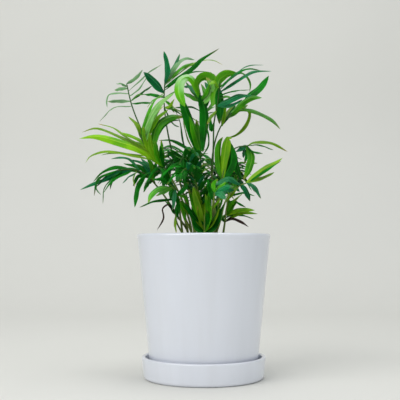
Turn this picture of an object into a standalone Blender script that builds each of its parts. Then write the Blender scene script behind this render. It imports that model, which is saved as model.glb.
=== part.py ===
"""A potted bamboo palm: a glazed pot on its saucer, potting soil and a clump of leafy stems.

Lengths are millimetres, turned into metres where a mesh is made. +Z is up, and the origin
is the centre of the saucer's flat underside. The palm is described as it is seen from the
front, along a line of sight that rises a little. A place (x, z) is where a point shows on
the plane square to that line at the pot's axis, with z counted from the saucer's underside.
A depth y is a real one: negative in front of the axis, and positive behind it.
"""

import math
import random

import bmesh
import bpy
from mathutils import Vector
from mathutils.bvhtree import BVHTree

MM = 0.001
GAP = 0.3  # between pieces that touch
ROUND_SIDES = 36

# Saucer
SAUCER_HEIGHT = 24.4
SAUCER_FLOOR = 5.0
SAUCER_BASE_RADIUS = 66.9
SAUCER_RIM_RADIUS = 69.2
SAUCER_EDGE = 4.0
SAUCER_LIP = 1.6
SAUCER_FILLET = 1.2
SAUCER_CLEARANCE = 3.7  # from the pot to the saucer's wall, all the way up

# Pot
POT_RIM_Z = 160.2
POT_RIM_RADIUS = 75.0
POT_TAPER = 0.1015  # growth of the radius for each mm of height
POT_WALL = 6.0
POT_FLOOR = 7.0
POT_LIP = 2.6
POT_FLARE = 0.9  # how far the rim stands out from the wall below it,
POT_FLARE_HEIGHT = 6.5  # over this height
POT_EDGE = 2.5
DRAIN_RADIUS = 7.0

# Soil
SOIL_Z = 140.0
SOIL_DOME = 2.0  # how much higher its middle stands
SOIL_ROUGHNESS = 0.8
SOIL_RINGS = 3
SOIL_SIDES = 20
SOIL_CHAMFER = 4.0
HOLE_DEPTH = 22.0
HOLE_SIDES = 8

# Palm
EYE_DISTANCE = 880.0  # how far in front of the pot's axis the palm is seen from
EYE_HEIGHT = 144.0
EYE_TILT = 0.062  # how far the line of sight rises for each mm that it runs
STEM_RADIUS = 2.4
STEM_NECK = 1.5  # the stem's radius at its top
STEM_TOP = 158.0
STEM_SIDES = 8
PETIOLE_RADIUS = 1.15
MIDRIB_END_RADIUS = 0.65
TUBE_SIDES = 4
MIDRIB_STEPS = 8
ROUTE_STEPS = 10  # points read between two places of a route
ROOTS_PER_STEP = 8  # places where a leaflet can start, on each step of a midrib
BLADE_THICKNESS = 0.95
NARROWEST_BLADE = 5.5
MOST_FACING = 0.8  # the share of a blade's width that shows from the front, at most
ROOF_SLOPE = 0.22  # how far a blade's edges lie below its midrib, to half its width
# How wide a blade is along its length, as (share of the length, share of the width)
PLAIN_BLADE = ((0.0, 0.42), (0.3, 0.98), (0.65, 0.82))
CURVED_BLADE = ((0.0, 0.42), (0.2, 0.88), (0.4, 1.0), (0.6, 0.9), (0.8, 0.62))
HOOKED_BLADE = ((0.0, 0.4), (0.15, 0.6), (0.3, 0.78), (0.45, 0.9), (0.6, 1.0), (0.75, 0.98),
                (0.88, 0.66))
MOST_PLAIN_PLACES = 3  # a route through more places than this makes a curved blade,
MOST_CURVED_PLACES = 6  # and one through more than this a hooked one
BLADE_CLEARANCE = 0.5
BENDS = (0, 3, 6, 9, 13, 17, 22, 28)  # how far a tip is moved to bend its blade clear

# Each frond is seen from the front. "route" runs up its petiole and midrib, "depth" is the
# y of its end and "bare" the share of the route that carries no leaflets. A leaflet is
# (width, depth of its tip past its root, root, places on the way, tip).
PALMS = {
    "palm_01": {
        "foot": (-16, 8),
        "fronds": [
            {
                "route": [(-22, 178), (-34, 206), (-53, 243), (-73, 284), (-82, 308), (-87, 330)],
                "depth": 30,
                "bare": 0.86,
                "leaflets": [
                    (5.3, 8, (-82, 310), (-96, 311), (-109, 310)),
                    (3.3, -14, (-85, 318), (-97, 320), (-107, 318), (-110, 311), (-109, 303)),
                    (5.3, 20, (-86, 325), (-93, 325), (-101, 323)),
                    (4.4, -18, (-87, 328), (-93, 330), (-99, 330)),
                    (4.6, 10, (-86, 329), (-77, 337), (-69, 346)),
                    (2.7, 26, (-85, 321), (-72, 334), (-61, 344), (-47, 352)),
                    (2.7, -22, (-83, 315), (-73, 325), (-62, 341)),
                    (3.3, 30, (-81, 311), (-69, 321), (-58, 328)),
                    (2.7, -12, (-81, 308), (-68, 309), (-56, 308)),
                ],
            },
            {
                "route": [(-28, 178), (-45, 204), (-59, 221), (-71, 231), (-84, 233), (-98, 232)],
                "depth": -2,
                "bare": 0.52,
                "leaflets": [
                    (3.1, 14, (-71, 231), (-82, 244), (-94, 247), (-105, 245)),
                    (5.5, 18, (-56, 220), (-70, 235), (-91, 240)),
                    (4.8, 10, (-54, 216), (-67, 239), (-87, 245)),
                    (4.8, 12, (-75, 232), (-98, 236), (-115, 230), (-125, 219)),
                    (4.4, -6, (-80, 233), (-98, 231), (-112, 223), (-122, 213)),
                    (4.8, 6, (-84, 232), (-103, 225), (-125, 217), (-140, 210)),
                    (3.1, -18, (-80, 230), (-102, 222), (-114, 206)),
                    (3.3, -12, (-98, 232), (-118, 224), (-122, 212), (-116, 204)),
                    (2.8, 16, (-98, 232), (-120, 223), (-124, 203)),
                    (2.6, -20, (-77, 232), (-80, 223), (-78, 213)),
                    (6.2, -16, (-64, 228), (-75, 213), (-78, 190)),
                    (4.8, -22, (-58, 220), (-64, 217), (-68, 207)),
                ],
            },
        ],
    },
    "palm_02": {
        "foot": (-9, -3),
        "fronds": [
            {
                "route": [(-14, 178), (-23, 205), (-32, 238), (-38, 262), (-43, 290),
                          (-45, 315), (-44, 331)],
                "depth": 12,
                "bare": 0.84,
                "leaflets": [
                    (7.5, -10, (-44, 331), (-42, 347), (-45, 367)),
                    (6.6, 18, (-44, 331), (-35, 347), (-27, 364)),
                    (6.6, 34, (-44, 329), (-31, 352), (-20, 359), (-10, 357)),
                    (5.7, -30, (-44, 326), (-14, 347), (-2, 358), (18, 370)),
                    (4.8, 8, (-44, 330), (-25, 348), (-11, 354)),
                    (10, -24, (-45, 321), (-56, 333), (-68, 343)),
                    (4.8, 22, (-45, 315), (-57, 318), (-67, 318)),
                    (2.4, 40, (-44, 328), (-14, 352), (8, 357), (22, 351)),
                ],
            },
            {"azimuth": 176, "reach": 36, "height": 246, "end": 238, "bare": 0.5,
             "pairs": 4, "length": 36, "width": 7},
        ],
    },
    "palm_03": {
        "foot": (-13, -13),
        "fronds": [
            {
                "route": [(-17, 178), (-25, 200), (-36, 222), (-48, 240), (-60, 252),
                          (-69, 264), (-73, 275)],
                "depth": -26,
                "bare": 0.46,
                "leaflets": [
                    (8.8, -14, (-48, 237), (-68, 254.5), (-90, 262.5), (-121, 270.5),
                     (-141, 268)),
                    (4, 10, (-60, 252), (-80, 263), (-98, 272), (-121, 280), (-138, 275)),
                    (2.8, 22, (-66, 258), (-84, 268), (-101, 280), (-120, 285)),
                    (3.1, -24, (-52, 241), (-78, 249), (-108, 254), (-127, 249), (-134, 240)),
                    (9.5, -6, (-71, 268), (-64.5, 284), (-57, 298), (-48, 310), (-33, 320)),
                    (5.3, 8, (-69, 268), (-74, 283), (-85, 293)),
                    (9.4, 16, (-60, 252), (-53, 281), (-38, 292), (-19, 293)),
                    (7.7, -10, (-52, 243), (-60, 257), (-66, 270), (-68, 282)),
                    (7.3, -16, (-48, 240), (-58, 257), (-61, 275)),
                    (6.6, -20, (-46, 236), (-52, 250), (-55, 266)),
                    (8.4, 12, (-67, 262), (-62, 279), (-54, 291), (-40, 301)),
                ],
            },
            {
                "route": [(-20, 176), (-26, 195), (-32, 209), (-38, 216)],
                "depth": -36,
                "bare": 0.6,
                "leaflets": [
                    (7, -10, (-34, 214), (-50, 212), (-59, 205), (-63, 195)),
                    (3.7, 4, (-28, 200), (-45, 199), (-58, 197), (-73, 190)),
                    (5.9, -16, (-31, 212), (-34, 204), (-35, 187)),
                    (5.5, -22, (-38, 216), (-46, 222), (-58, 222)),
                    (5.5, 8, (-38, 216), (-42, 228), (-50, 236)),
                ],
            },
        ],
    },
    "palm_04": {
        "foot": (-3, 4),
        "fronds": [
            {
                "route": [(-3, 180), (-3, 205), (-3, 232), (-4, 262), (-3, 290), (-3, 308),
                          (-4, 320)],
                "depth": -4,
                "bare": 0.52,
                "leaflets": [
                    (12.8, -16, (-4, 248), (-10, 273), (-19, 297), (-27, 318)),
                    (7.7, -24, (-4, 252), (-9, 272), (-16, 293)),
                    (11.4, -14, (-4, 318), (2, 294), (-1, 252)),
                    (11, -24, (-3, 313), (-8, 326), (-12.5, 335), (-19, 338), (-26, 334),
                     (-29, 325), (-27, 315), (-21, 304)),
                    (12.1, -14, (-4, 317), (-7, 328), (-4, 335), (2, 337.5), (8, 335),
                     (11.5, 327), (11.5, 315), (10, 304)),
                    (7.3, 22, (-3, 312), (-8, 321), (-15, 327), (-23, 327)),
                    (5.5, -14, (-3, 312), (2, 320), (7, 331)),
                    (5.5, 16, (-3, 310), (-14, 316), (-23, 320)),
                    (3.5, 26, (-3, 300), (-13, 304), (-22, 304), (-33, 303)),
                    (3.9, 16, (-4, 248), (-18, 257), (-35, 266), (-51, 266)),
                ],
            },
            {"azimuth": -122, "reach": 46, "height": 246, "end": 234, "bare": 0.45,
             "pairs": 5, "length": 38, "width": 7},
        ],
    },
    "palm_05": {
        "foot": (5, -5),
        "fronds": [
            {
                "route": [(6, 180), (8, 205), (10, 235), (11, 262), (12, 290), (16, 310),
                          (18, 331)],
                "depth": -24,
                "bare": 0.76,
                "leaflets": [
                    (9.4, 14, (18, 324), (17.5, 333.5), (26, 340), (38, 341.5)),
                    (3.7, 26, (18, 319), (45, 338), (58, 344), (77, 344)),
                    (4, 12, (18, 326), (37, 342), (51, 347), (64, 345)),
                    (3.3, 34, (18, 326), (38, 342), (48, 339), (53, 330), (52, 320)),
                    (9.2, 12, (18, 324), (19, 305), (18, 284)),
                    (7, -14, (15, 304), (26, 310), (39, 316), (55, 317)),
                    (4.4, -14, (13, 300), (8, 293), (4, 284)),
                ],
            },
            {
                "route": [(7, 174), (9, 186), (11, 198), (13, 207)],
                "depth": -60,
                "bare": 0.4,
                "leaflets": [
                    (5.5, -10, (9, 186), (6, 199), (9, 211)),
                    (7.3, -16, (13, 207), (19, 206), (24, 199)),
                    (6.6, -6, (12, 203), (18, 213), (25, 219)),
                    (2.8, -20, (9, 188), (17, 198), (27, 204)),
                    (5.1, -12, (13, 206), (24, 213), (34, 214)),
                    (5.5, -18, (11, 198), (8, 211), (4, 221)),
                    (5.5, 4, (13, 207), (12, 216), (16, 222)),
                ],
            },
        ],
    },
    "palm_06": {
        "foot": (12, 9),
        "fronds": [
            {
                "route": [(13, 180), (10, 210), (9, 238), (12, 260), (20, 284), (33, 298),
                          (43, 304)],
                "depth": 26,
                "bare": 0.76,
                "leaflets": [
                    (6.6, 24, (22, 284), (28, 297), (36, 306)),
                    (7.7, -20, (31, 296), (42, 307), (54, 314), (66, 314)),
                    (10.3, 12, (42, 304), (52, 317), (63, 326), (73.5, 339)),
                    (5.5, -26, (34, 298), (48, 301), (62, 297), (77, 289), (87, 278)),
                    (4, 28, (43, 304), (52, 298), (51, 288), (45, 278), (36, 271), (25, 268)),
                    (5.9, -12, (20, 281), (22, 296), (25, 309)),
                ],
            },
            {"azimuth": 58, "reach": 52, "height": 242, "end": 232, "bare": 0.45,
             "pairs": 5, "length": 34, "width": 7},
        ],
    },
    "palm_07": {
        "foot": (14, -10),
        "fronds": [
            {
                "route": [(16, 180), (18, 205), (23, 232), (31, 252), (41, 260), (51, 260)],
                "depth": -18,
                "bare": 0.48,
                "leaflets": [
                    (10.3, -6, (22, 222), (31, 241), (31, 263)),
                    (7, 10, (34, 255), (36.5, 240), (43, 221)),
                    (8.2, -14, (50, 260), (54.5, 248), (51.5, 234), (45, 221)),
                    (4.2, 6, (50, 260), (58, 264), (77, 263), (95, 253)),
                    (2.6, 18, (51, 260), (63, 261), (79, 255)),
                    (2.6, -6, (49, 260), (55, 254), (67, 251)),
                    (9.5, -10, (20, 219), (21, 231), (22.5, 243), (24, 254), (25.5, 263),
                     (28, 269), (32, 268)),
                    (8.1, -4, (21, 222), (18, 238), (16.5, 252), (18, 263),
                     (22, 270)),
                ],
            },
            {
                "route": [(19, 176), (24, 196), (32, 208), (41, 215), (49, 218)],
                "depth": -44,
                "bare": 0.48,
                "leaflets": [
                    (6.6, 12, (48, 218), (66, 232), (89, 246)),
                    (2.4, 4, (47, 218), (66, 230), (88, 243)),
                    (4.4, 16, (49, 218), (66, 224), (80, 230)),
                    (5.3, -8, (49, 218), (57, 214), (62, 206), (64.5, 200)),
                    (6.6, -20, (42, 216), (29, 223), (14, 215)),
                    (5.5, -4, (44, 216), (49, 207), (52.5, 197)),
                    (6.6, -24, (34, 210), (24, 213), (13, 206)),
                    (4.8, 10, (30, 206), (28, 214), (23, 222)),
                ],
            },
        ],
    },
    "palm_08": {
        "foot": (22, -2),
        "fronds": [
            {
                "route": [(24, 174), (25, 184), (27, 196), (30, 208)],
                "depth": -8,
                "bare": 0.3,
                "leaflets": [
                    (2.8, -10, (27, 197), (36, 197), (48, 190)),
                    (2.2, 10, (29, 203), (38, 206), (47, 207), (58, 203)),
                    (5.5, -14, (24, 181), (34, 186), (44, 188), (58, 187)),
                    (2.6, 8, (24, 178), (31, 182), (43, 182), (57, 177)),
                    (3, -22, (24, 174), (31, 178), (41, 175), (51, 168)),
                    (5.5, 6, (30, 208), (34, 216), (36, 228)),
                    (4.4, 16, (29, 204), (22, 212), (14, 216)),
                    (5.5, -6, (24, 174), (18, 184), (13, 196)),
                ],
            },
        ],
    },
    "palm_09": {
        "foot": (1, -20),
        "fronds": [
            {
                "route": [(1, 164), (1, 173), (1, 182)],
                "depth": -25,
                "bare": 0.34,
                "leaflets": [
                    (10.4, -12, (1, 174), (-4, 193), (-12, 214)),
                    (6.4, -6, (1, 175), (2, 195), (5, 215)),
                    (7.6, -8, (1, 162), (9, 184), (20, 207)),
                    (8.8, -4, (0, 174), (-8, 192), (-17, 211)),
                    (6.2, -16, (1, 164), (-11, 180), (-22, 195)),
                    (9.9, 4, (1, 161), (8, 178), (14, 199)),
                    (9.9, 2, (1, 161), (-6, 176), (-13, 194)),
                ],
            },
            {"azimuth": -128, "reach": 42, "height": 230, "end": 223, "bare": 0.4,
             "pairs": 5, "length": 27, "width": 6.6},
        ],
    },
    "palm_10": {
        "foot": (-6, 18),
        "fronds": [
            {"azimuth": 112, "reach": 60, "height": 262, "end": 250, "bare": 0.5,
             "pairs": 5, "length": 46, "width": 7.6},
            {"azimuth": 134, "reach": 62, "height": 248, "end": 238, "bare": 0.45,
             "pairs": 5, "length": 38, "width": 7.6},
        ],
    },
    "palm_11": {
        "foot": (10, 20),
        "fronds": [
            {"azimuth": 40, "reach": 42, "height": 236, "end": 228, "bare": 0.45,
             "pairs": 4, "length": 31, "width": 7},
            {"azimuth": 84, "reach": 72, "height": 250, "end": 234, "bare": 0.46,
             "pairs": 5, "length": 46, "width": 7.6},
        ],
    },
    "palm_12": {
        "foot": (-24, -2),
        "fronds": [
            {
                "route": [(-30, 172), (-32, 183)],
                "depth": -4,
                "bare": 0.5,
                "leaflets": [
                    (3.7, -8, (-32, 180), (-31, 190), (-26, 201)),
                    (3.3, 8, (-32, 182), (-37, 192), (-44, 198)),
                    (3.5, -14, (-31, 181), (-33, 172), (-31, 161)),
                    (2, -6, (-32, 183), (-39, 194), (-47, 189), (-46, 178), (-53, 164)),
                ],
            },
            {"azimuth": 178, "reach": 36, "height": 232, "end": 227, "bare": 0.5,
             "pairs": 3, "length": 28, "width": 6.4},
        ],
    },
}


def remove_everything():
    for thing in list(bpy.data.objects):
        bpy.data.objects.remove(thing, do_unlink=True)


def material(name, color, roughness):
    made = bpy.data.materials.new(name)
    made.use_nodes = True
    shader = made.node_tree.nodes["Principled BSDF"]
    shader.inputs["Base Color"].default_value = (*color, 1.0)
    shader.inputs["Roughness"].default_value = roughness
    shader.inputs["Metallic"].default_value = 0.0
    return made


def mesh_object(name, points, faces, finish):
    """A smooth-shaded object from millimetre points."""
    mesh = bpy.data.meshes.new(name)
    mesh.from_pydata([Vector(point) * MM for point in points], [], faces)
    mesh.materials.append(finish)
    mesh.shade_smooth()
    mesh.set_sharp_from_angle(angle=math.radians(35))
    made = bpy.data.objects.new(name, mesh)
    bpy.context.scene.collection.objects.link(made)
    return made


def arc_at(before, corner, after, radius, steps):
    """A profile's corner as an arc of the given radius."""
    to_before = (Vector(before) - Vector(corner)).normalized()
    to_after = (Vector(after) - Vector(corner)).normalized()
    half = to_before.angle(to_after) / 2
    inwards = (to_before + to_after).normalized()
    centre = Vector(corner) + inwards * (radius / math.sin(half))
    start = Vector(corner) + to_before * (radius / math.tan(half)) - centre
    end = Vector(corner) + to_after * (radius / math.tan(half)) - centre
    spokes = [start.lerp(end, step / steps).normalized() for step in range(steps + 1)]
    return [centre + spoke * radius for spoke in spokes]


def profile_of(corners):
    """(radius, z) points from corners given as (radius, z, rounding, steps of the arc)."""
    points = []
    for index, (radius, z, rounding, steps) in enumerate(corners):
        if rounding:
            before = corners[index - 1][:2]
            after = corners[(index + 1) % len(corners)][:2]
            points += arc_at(before, (radius, z), after, rounding, steps)
        elif radius:
            points.append(Vector((radius, z)))
    return points


def turned(name, corners, finish):
    """A turned solid. Its profile runs up the outer side, and either closes on itself or
    starts and ends on the axis, where flat faces close the solid."""
    profile = profile_of(corners)
    rings = []
    points = []
    for corner in profile:
        first = len(points)
        rings.append([first + side for side in range(ROUND_SIDES)])
        for side in range(ROUND_SIDES):
            angle = math.tau * side / ROUND_SIDES
            points.append((corner.x * math.cos(angle), corner.x * math.sin(angle), corner.y))
    on_axis = corners[0][0] == 0
    pairs = list(zip(rings, rings[1:])) if on_axis else list(zip(rings, rings[1:] + rings[:1]))
    faces = [quad for lower, upper in pairs for quad in quads_between(lower, upper)]
    if on_axis:
        faces += [tuple(reversed(rings[0])), tuple(rings[-1])]
    return mesh_object(name, points, faces, finish)


def quads_between(lower, upper):
    count = len(lower)
    return [
        (lower[side], lower[(side + 1) % count], upper[(side + 1) % count], upper[side])
        for side in range(count)
    ]


def pot_radius(z):
    return POT_RIM_RADIUS - (POT_RIM_Z - z) * POT_TAPER


def make_saucer(finish):
    inner_rim = pot_radius(SAUCER_HEIGHT) + SAUCER_CLEARANCE
    inner_floor = pot_radius(SAUCER_FLOOR) + SAUCER_CLEARANCE
    corners = [
        (0, 0, 0, 0),
        (SAUCER_BASE_RADIUS, 0, SAUCER_EDGE, 2),
        (SAUCER_RIM_RADIUS, SAUCER_HEIGHT, SAUCER_LIP, 2),
        (inner_rim, SAUCER_HEIGHT, SAUCER_LIP, 2),
        (inner_floor, SAUCER_FLOOR, SAUCER_FILLET, 1),
        (0, SAUCER_FLOOR, 0, 0),
    ]
    return turned("saucer", corners, finish)


def make_pot(finish):
    base = SAUCER_FLOOR + GAP
    floor = base + POT_FLOOR
    neck = POT_RIM_Z - POT_FLARE_HEIGHT
    corners = [
        (DRAIN_RADIUS, base, 0, 0),
        (pot_radius(base), base, POT_EDGE, 2),
        (pot_radius(neck), neck, 0, 0),
        (POT_RIM_RADIUS + POT_FLARE, POT_RIM_Z, POT_LIP, 2),
        (POT_RIM_RADIUS - POT_WALL, POT_RIM_Z, POT_LIP, 2),
        (pot_radius(floor) - POT_WALL, floor, SOIL_CHAMFER - 1, 1),
        (DRAIN_RADIUS, floor, 0, 0),
    ]
    return turned("pot", corners, finish)


def make_soil(finish, feet):
    """Potting mix, a little domed and rough on top, with a plain hole for each stem."""
    chance = random.Random(11)
    floor = SAUCER_FLOOR + GAP + POT_FLOOR + GAP
    inset = POT_WALL + GAP
    top_radius = pot_radius(SOIL_Z) - inset
    rings = [
        (pot_radius(floor) - inset - SOIL_CHAMFER, floor, 0),
        (pot_radius(floor + SOIL_CHAMFER) - inset, floor + SOIL_CHAMFER, 0),
        (top_radius, SOIL_Z, 0),
    ]
    for ring in range(1, SOIL_RINGS):
        share = 1 - ring / SOIL_RINGS
        rings.append((top_radius * share, SOIL_Z + SOIL_DOME * (1 - share**2), SOIL_ROUGHNESS))
    points = []
    numbers = []
    for radius, z, roughness in rings:
        numbers.append(range(len(points), len(points) + SOIL_SIDES))
        for side in range(SOIL_SIDES):
            angle = math.tau * side / SOIL_SIDES
            height = z + chance.uniform(-roughness, roughness)
            points.append((radius * math.cos(angle), radius * math.sin(angle), height))
    faces = [tuple(reversed(numbers[0]))]
    for lower, upper in zip(numbers, numbers[1:]):
        faces += quads_between(lower, upper)
    middle = len(points)
    points.append((0, 0, SOIL_Z + SOIL_DOME))
    innermost = numbers[-1]
    faces += [
        (innermost[side - 1], innermost[side], middle) for side in range(SOIL_SIDES)
    ]
    soil = mesh_object("soil", points, faces, finish)
    hole_radius = (STEM_RADIUS + GAP) / math.cos(math.pi / HOLE_SIDES)
    holes = []
    for x, y in feet:
        ends = [Vector((x, y, SOIL_Z - HOLE_DEPTH)), Vector((x, y, SOIL_Z + HOLE_DEPTH))]
        holes.append(tube_shape(ends, hole_radius, hole_radius, HOLE_SIDES))
    combine(soil, holes, "DIFFERENCE", "EXACT")


def combine(base, shapes, operation, solver):
    """Applies one Boolean between an object and a collection of shapes."""
    collection = bpy.data.collections.new(base.name + "_repeats")
    bpy.context.scene.collection.children.link(collection)
    for points, faces in shapes:
        repeat = mesh_object("repeat", points, faces, base.data.materials[0])
        bpy.context.scene.collection.objects.unlink(repeat)
        collection.objects.link(repeat)
    boolean = base.modifiers.new("Boolean", "BOOLEAN")
    boolean.operation = operation
    boolean.solver = solver
    boolean.operand_type = "COLLECTION"
    boolean.collection = collection
    graph = bpy.context.evaluated_depsgraph_get()
    joined = bpy.data.meshes.new_from_object(base.evaluated_get(graph))
    base.modifiers.clear()
    base.data = joined
    for repeat in list(collection.objects):
        bpy.data.objects.remove(repeat, do_unlink=True)
    bpy.data.collections.remove(collection)


def fill_voids(mesh):
    """Removes the inner shells that crossing leaflets close off, so that the solid is whole."""
    shape = bmesh.new()
    shape.from_mesh(mesh)
    waiting = set(shape.faces)
    while waiting:
        shell = [waiting.pop()]
        for face in shell:
            for neighbor in {other for edge in face.edges for other in edge.link_faces}:
                if neighbor in waiting:
                    waiting.remove(neighbor)
                    shell.append(neighbor)
        near = shell[0].verts[0].co.copy()
        volume = 0.0
        for face in shell:
            first, *others = [vertex.co - near for vertex in face.verts]
            for second, third in zip(others, others[1:]):
                volume += first.dot(second.cross(third))
        if volume < 0:
            bmesh.ops.delete(shape, geom=shell, context="FACES")
    shape.to_mesh(mesh)
    shape.free()


def seen_at(x, z, y):
    """The real place of a point that lies at depth y and is seen from the front at (x, z)."""
    rise = (z - EYE_HEIGHT) / EYE_DISTANCE - EYE_TILT
    reach = (EYE_DISTANCE + y) / (1 - EYE_TILT * rise)
    across = x / EYE_DISTANCE * math.hypot(1, EYE_TILT)
    return Vector((across * reach, y, EYE_HEIGHT + (EYE_TILT + rise) * reach))


def smooth_route(places, steps):
    """Evenly spaced points, one more than steps, along a smooth curve through the places."""
    before = places[0] * 2 - places[1]
    after = places[-1] * 2 - places[-2]
    padded = [before, *places, after]
    fine = []
    for p0, p1, p2, p3 in zip(padded, padded[1:], padded[2:], padded[3:]):
        for step in range(ROUTE_STEPS):
            t = step / ROUTE_STEPS
            fine.append(
                0.5 * (2 * p1 + (p2 - p0) * t + (2 * p0 - 5 * p1 + 4 * p2 - p3) * t**2
                       + (3 * p1 - p0 - 3 * p2 + p3) * t**3)
            )
    fine.append(places[-1])
    travelled = [0.0]
    for start, end in zip(fine, fine[1:]):
        travelled.append(travelled[-1] + (end - start).length)
    made = []
    index = 1
    for step in range(steps + 1):
        distance = travelled[-1] * step / steps
        while index < len(fine) - 1 and travelled[index] < distance:
            index += 1
        stretch = max(travelled[index] - travelled[index - 1], 1e-9)
        share = min((distance - travelled[index - 1]) / stretch, 1.0)
        made.append(fine[index - 1].lerp(fine[index], share))
    return made


def midrib_of(foot, frond):
    """The route of a frond's petiole and midrib, from inside its stem to its end."""
    places = [Vector((*foot, STEM_TOP - 8)), Vector((*foot, STEM_TOP + 2))]
    if "azimuth" in frond:
        angle = math.radians(frond["azimuth"])
        outwards = Vector((math.cos(angle), math.sin(angle), 0)) * frond["reach"]
        top = frond["height"] - STEM_TOP
        for out, up in ((0.12, 0.45), (0.35, 0.8), (0.7, 1.0)):
            places.append(Vector((*foot, STEM_TOP + top * up)) + outwards * out)
        places.append(Vector((*foot, frond["end"])) + outwards)
    else:
        for index, (x, z) in enumerate(frond["route"], 1):
            share = (index / len(frond["route"])) ** 1.2
            places.append(seen_at(x, z, foot[1] + (frond["depth"] - foot[1]) * share))
    return smooth_route(places, MIDRIB_STEPS)


def leafy_part(midrib, bare):
    """Close points along the middle of a midrib, past the share of it that is bare."""
    points = [
        start.lerp(end, step / ROOTS_PER_STEP)
        for start, end in zip(midrib, midrib[1:])
        for step in range(ROOTS_PER_STEP)
    ]
    return points[round(bare * len(points)):] + [midrib[-1]]


def paired_leaflets(midrib, frond):
    """(width, route) of leaflets in pairs along a midrib, with a little natural variety."""
    leafy = leafy_part(midrib, frond["bare"])
    made = []
    for pair in range(frond["pairs"]):
        along = pair / (frond["pairs"] - 1)
        index = round(along * (len(leafy) - 1))
        tangent = tangent_at(leafy, index)
        sideways = tangent.cross(Vector((0, 0, 1))).normalized()
        for side in (-1, 1):
            sway = math.sin(frond["azimuth"] + 9.7 * along + 2.1 * side)
            spread = math.radians(64 - 36 * along + 6 * sway)
            length = frond["length"] * (1 - 0.9 * (along - 0.45) ** 2) * (1 + 0.1 * sway)
            way = tangent * math.cos(spread) + sideways * side * math.sin(spread)
            root = leafy[max(index - (side > 0), 0)]
            middle = root + way * length * 0.5 + Vector((0, 0, length * 0.07))
            droop = length * (0.2 + 0.1 * sway)
            tip = root + way * length * 0.93 - Vector((0, 0, droop))
            made.append((frond["width"] * (0.95 - 0.08 * sway), [root, middle, tip]))
    return made


def leaflet_route(midrib, bare, depth, places):
    """A leaflet's places, from the nearest point of its midrib to its tip."""
    x, z = places[0]
    leafy = leafy_part(midrib, bare)
    root = min(leafy, key=lambda point: (seen_at(x, z, point.y) - point).length)
    route = [root]
    for index, (x, z) in enumerate(places[1:], 1):
        share = (index / (len(places) - 1)) ** 1.4
        route.append(seen_at(x, z, root.y + depth * share))
    return route


def facing_normals(route, share):
    """At each point of a route, the direction that a blade's upper face looks in: up where
    share is None, or else turned so that this share of its width shows from the front."""
    normals = []
    for index in range(len(route)):
        tangent = tangent_at(route, index)
        aim = Vector((0, 0, 1)) if share is None else Vector((0, -1, 0))
        normal = (aim - tangent * aim.dot(tangent)).normalized()
        if share is not None:
            sideways = tangent.cross(normal)
            earlier = normals[-1] if normals else Vector((0, 0, 1))
            turn = math.copysign(math.sqrt(1 - share**2), sideways.dot(earlier))
            normal = normal * share + sideways * turn
        normals.append(normal)
    return normals


def tangent_at(route, index):
    before = route[max(index - 1, 0)]
    after = route[min(index + 1, len(route) - 1)]
    return (after - before).normalized()


def outline_of(route):
    if len(route) <= MOST_PLAIN_PLACES:
        return PLAIN_BLADE
    return CURVED_BLADE if len(route) <= MOST_CURVED_PLACES else HOOKED_BLADE


def blade_shape(route, width, thickness, share):
    """Points and triangles of one leaflet: a pointed blade with a roof-like cross-section.
    Both of its faces are split into triangles alike."""
    stations = smooth_route(route, 20)
    normals = facing_normals(stations, share)
    outline = outline_of(route)
    points = []
    for along, swell in outline:
        index = round(along * 20)
        tangent = tangent_at(stations, index)
        up = normals[index] * (thickness / 2)
        half = tangent.cross(normals[index]) * (width / 2 * swell)
        fall = normals[index] * (width / 2 * swell * ROOF_SLOPE)
        centre = stations[index]
        points += [centre - half - fall, centre + up, centre + half - fall, centre - up]
    points.append(stations[-1])
    faces = [(0, 3, 1), (3, 2, 1)]
    last = 4 * (len(outline) - 1)
    for a in range(0, last, 4):
        b = a + 4
        faces += [
            (a, a + 1, b + 1), (a, b + 1, b),
            (a + 1, a + 2, b + 1), (a + 2, b + 2, b + 1),
            (a + 2, a + 3, b + 3), (a + 2, b + 3, b + 2),
            (a + 3, a, b + 3), (a, b, b + 3),
        ]
    tip = last + 4
    faces += [(last + side, last + (side + 1) % 4, tip) for side in range(4)]
    return points, faces


def tube_shape(route, start_radius, end_radius, sides):
    """Points and faces of a round tube along a route."""
    points = []
    faces = []
    side_way = Vector((0.3, -1, 0.1))
    for index, centre in enumerate(route):
        tangent = tangent_at(route, index)
        side_way = (side_way - tangent * side_way.dot(tangent)).normalized()
        across = tangent.cross(side_way)
        radius = start_radius + (end_radius - start_radius) * index / (len(route) - 1)
        for side in range(sides):
            angle = math.tau * side / sides
            spoke = side_way * math.cos(angle) + across * math.sin(angle)
            points.append(centre + spoke * radius)
        if index:
            lower = range((index - 1) * sides, index * sides)
            upper = range(index * sides, (index + 1) * sides)
            faces += quads_between(lower, upper)
    faces.append(tuple(reversed(range(sides))))
    faces.append(tuple(range(len(points) - sides, len(points))))
    return points, faces


def leaflets_of(frond, midrib):
    """(width, share of it that shows from the front, route) of each leaflet of a frond."""
    if "azimuth" in frond:
        return [(width, None, route) for width, route in paired_leaflets(midrib, frond)]
    made = []
    for width, depth, *places in frond["leaflets"]:
        share = min(MOST_FACING, width / NARROWEST_BLADE)
        route = leaflet_route(midrib, frond["bare"], depth, places)
        made.append((width / share, share, route))
    return made


class Obstacle:
    """A shape that the leaflets of other stems are bent clear of."""

    def __init__(self, shape):
        points, faces = shape
        self.low = Vector(min(point[axis] for point in points) for axis in range(3))
        self.high = Vector(max(point[axis] for point in points) for axis in range(3))
        self.tree = BVHTree.FromPolygons(points, faces)

    def meets(self, other):
        for axis in range(3):
            if self.low[axis] > other.high[axis] or other.low[axis] > self.high[axis]:
                return False
        return bool(self.tree.overlap(other.tree))


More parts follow.
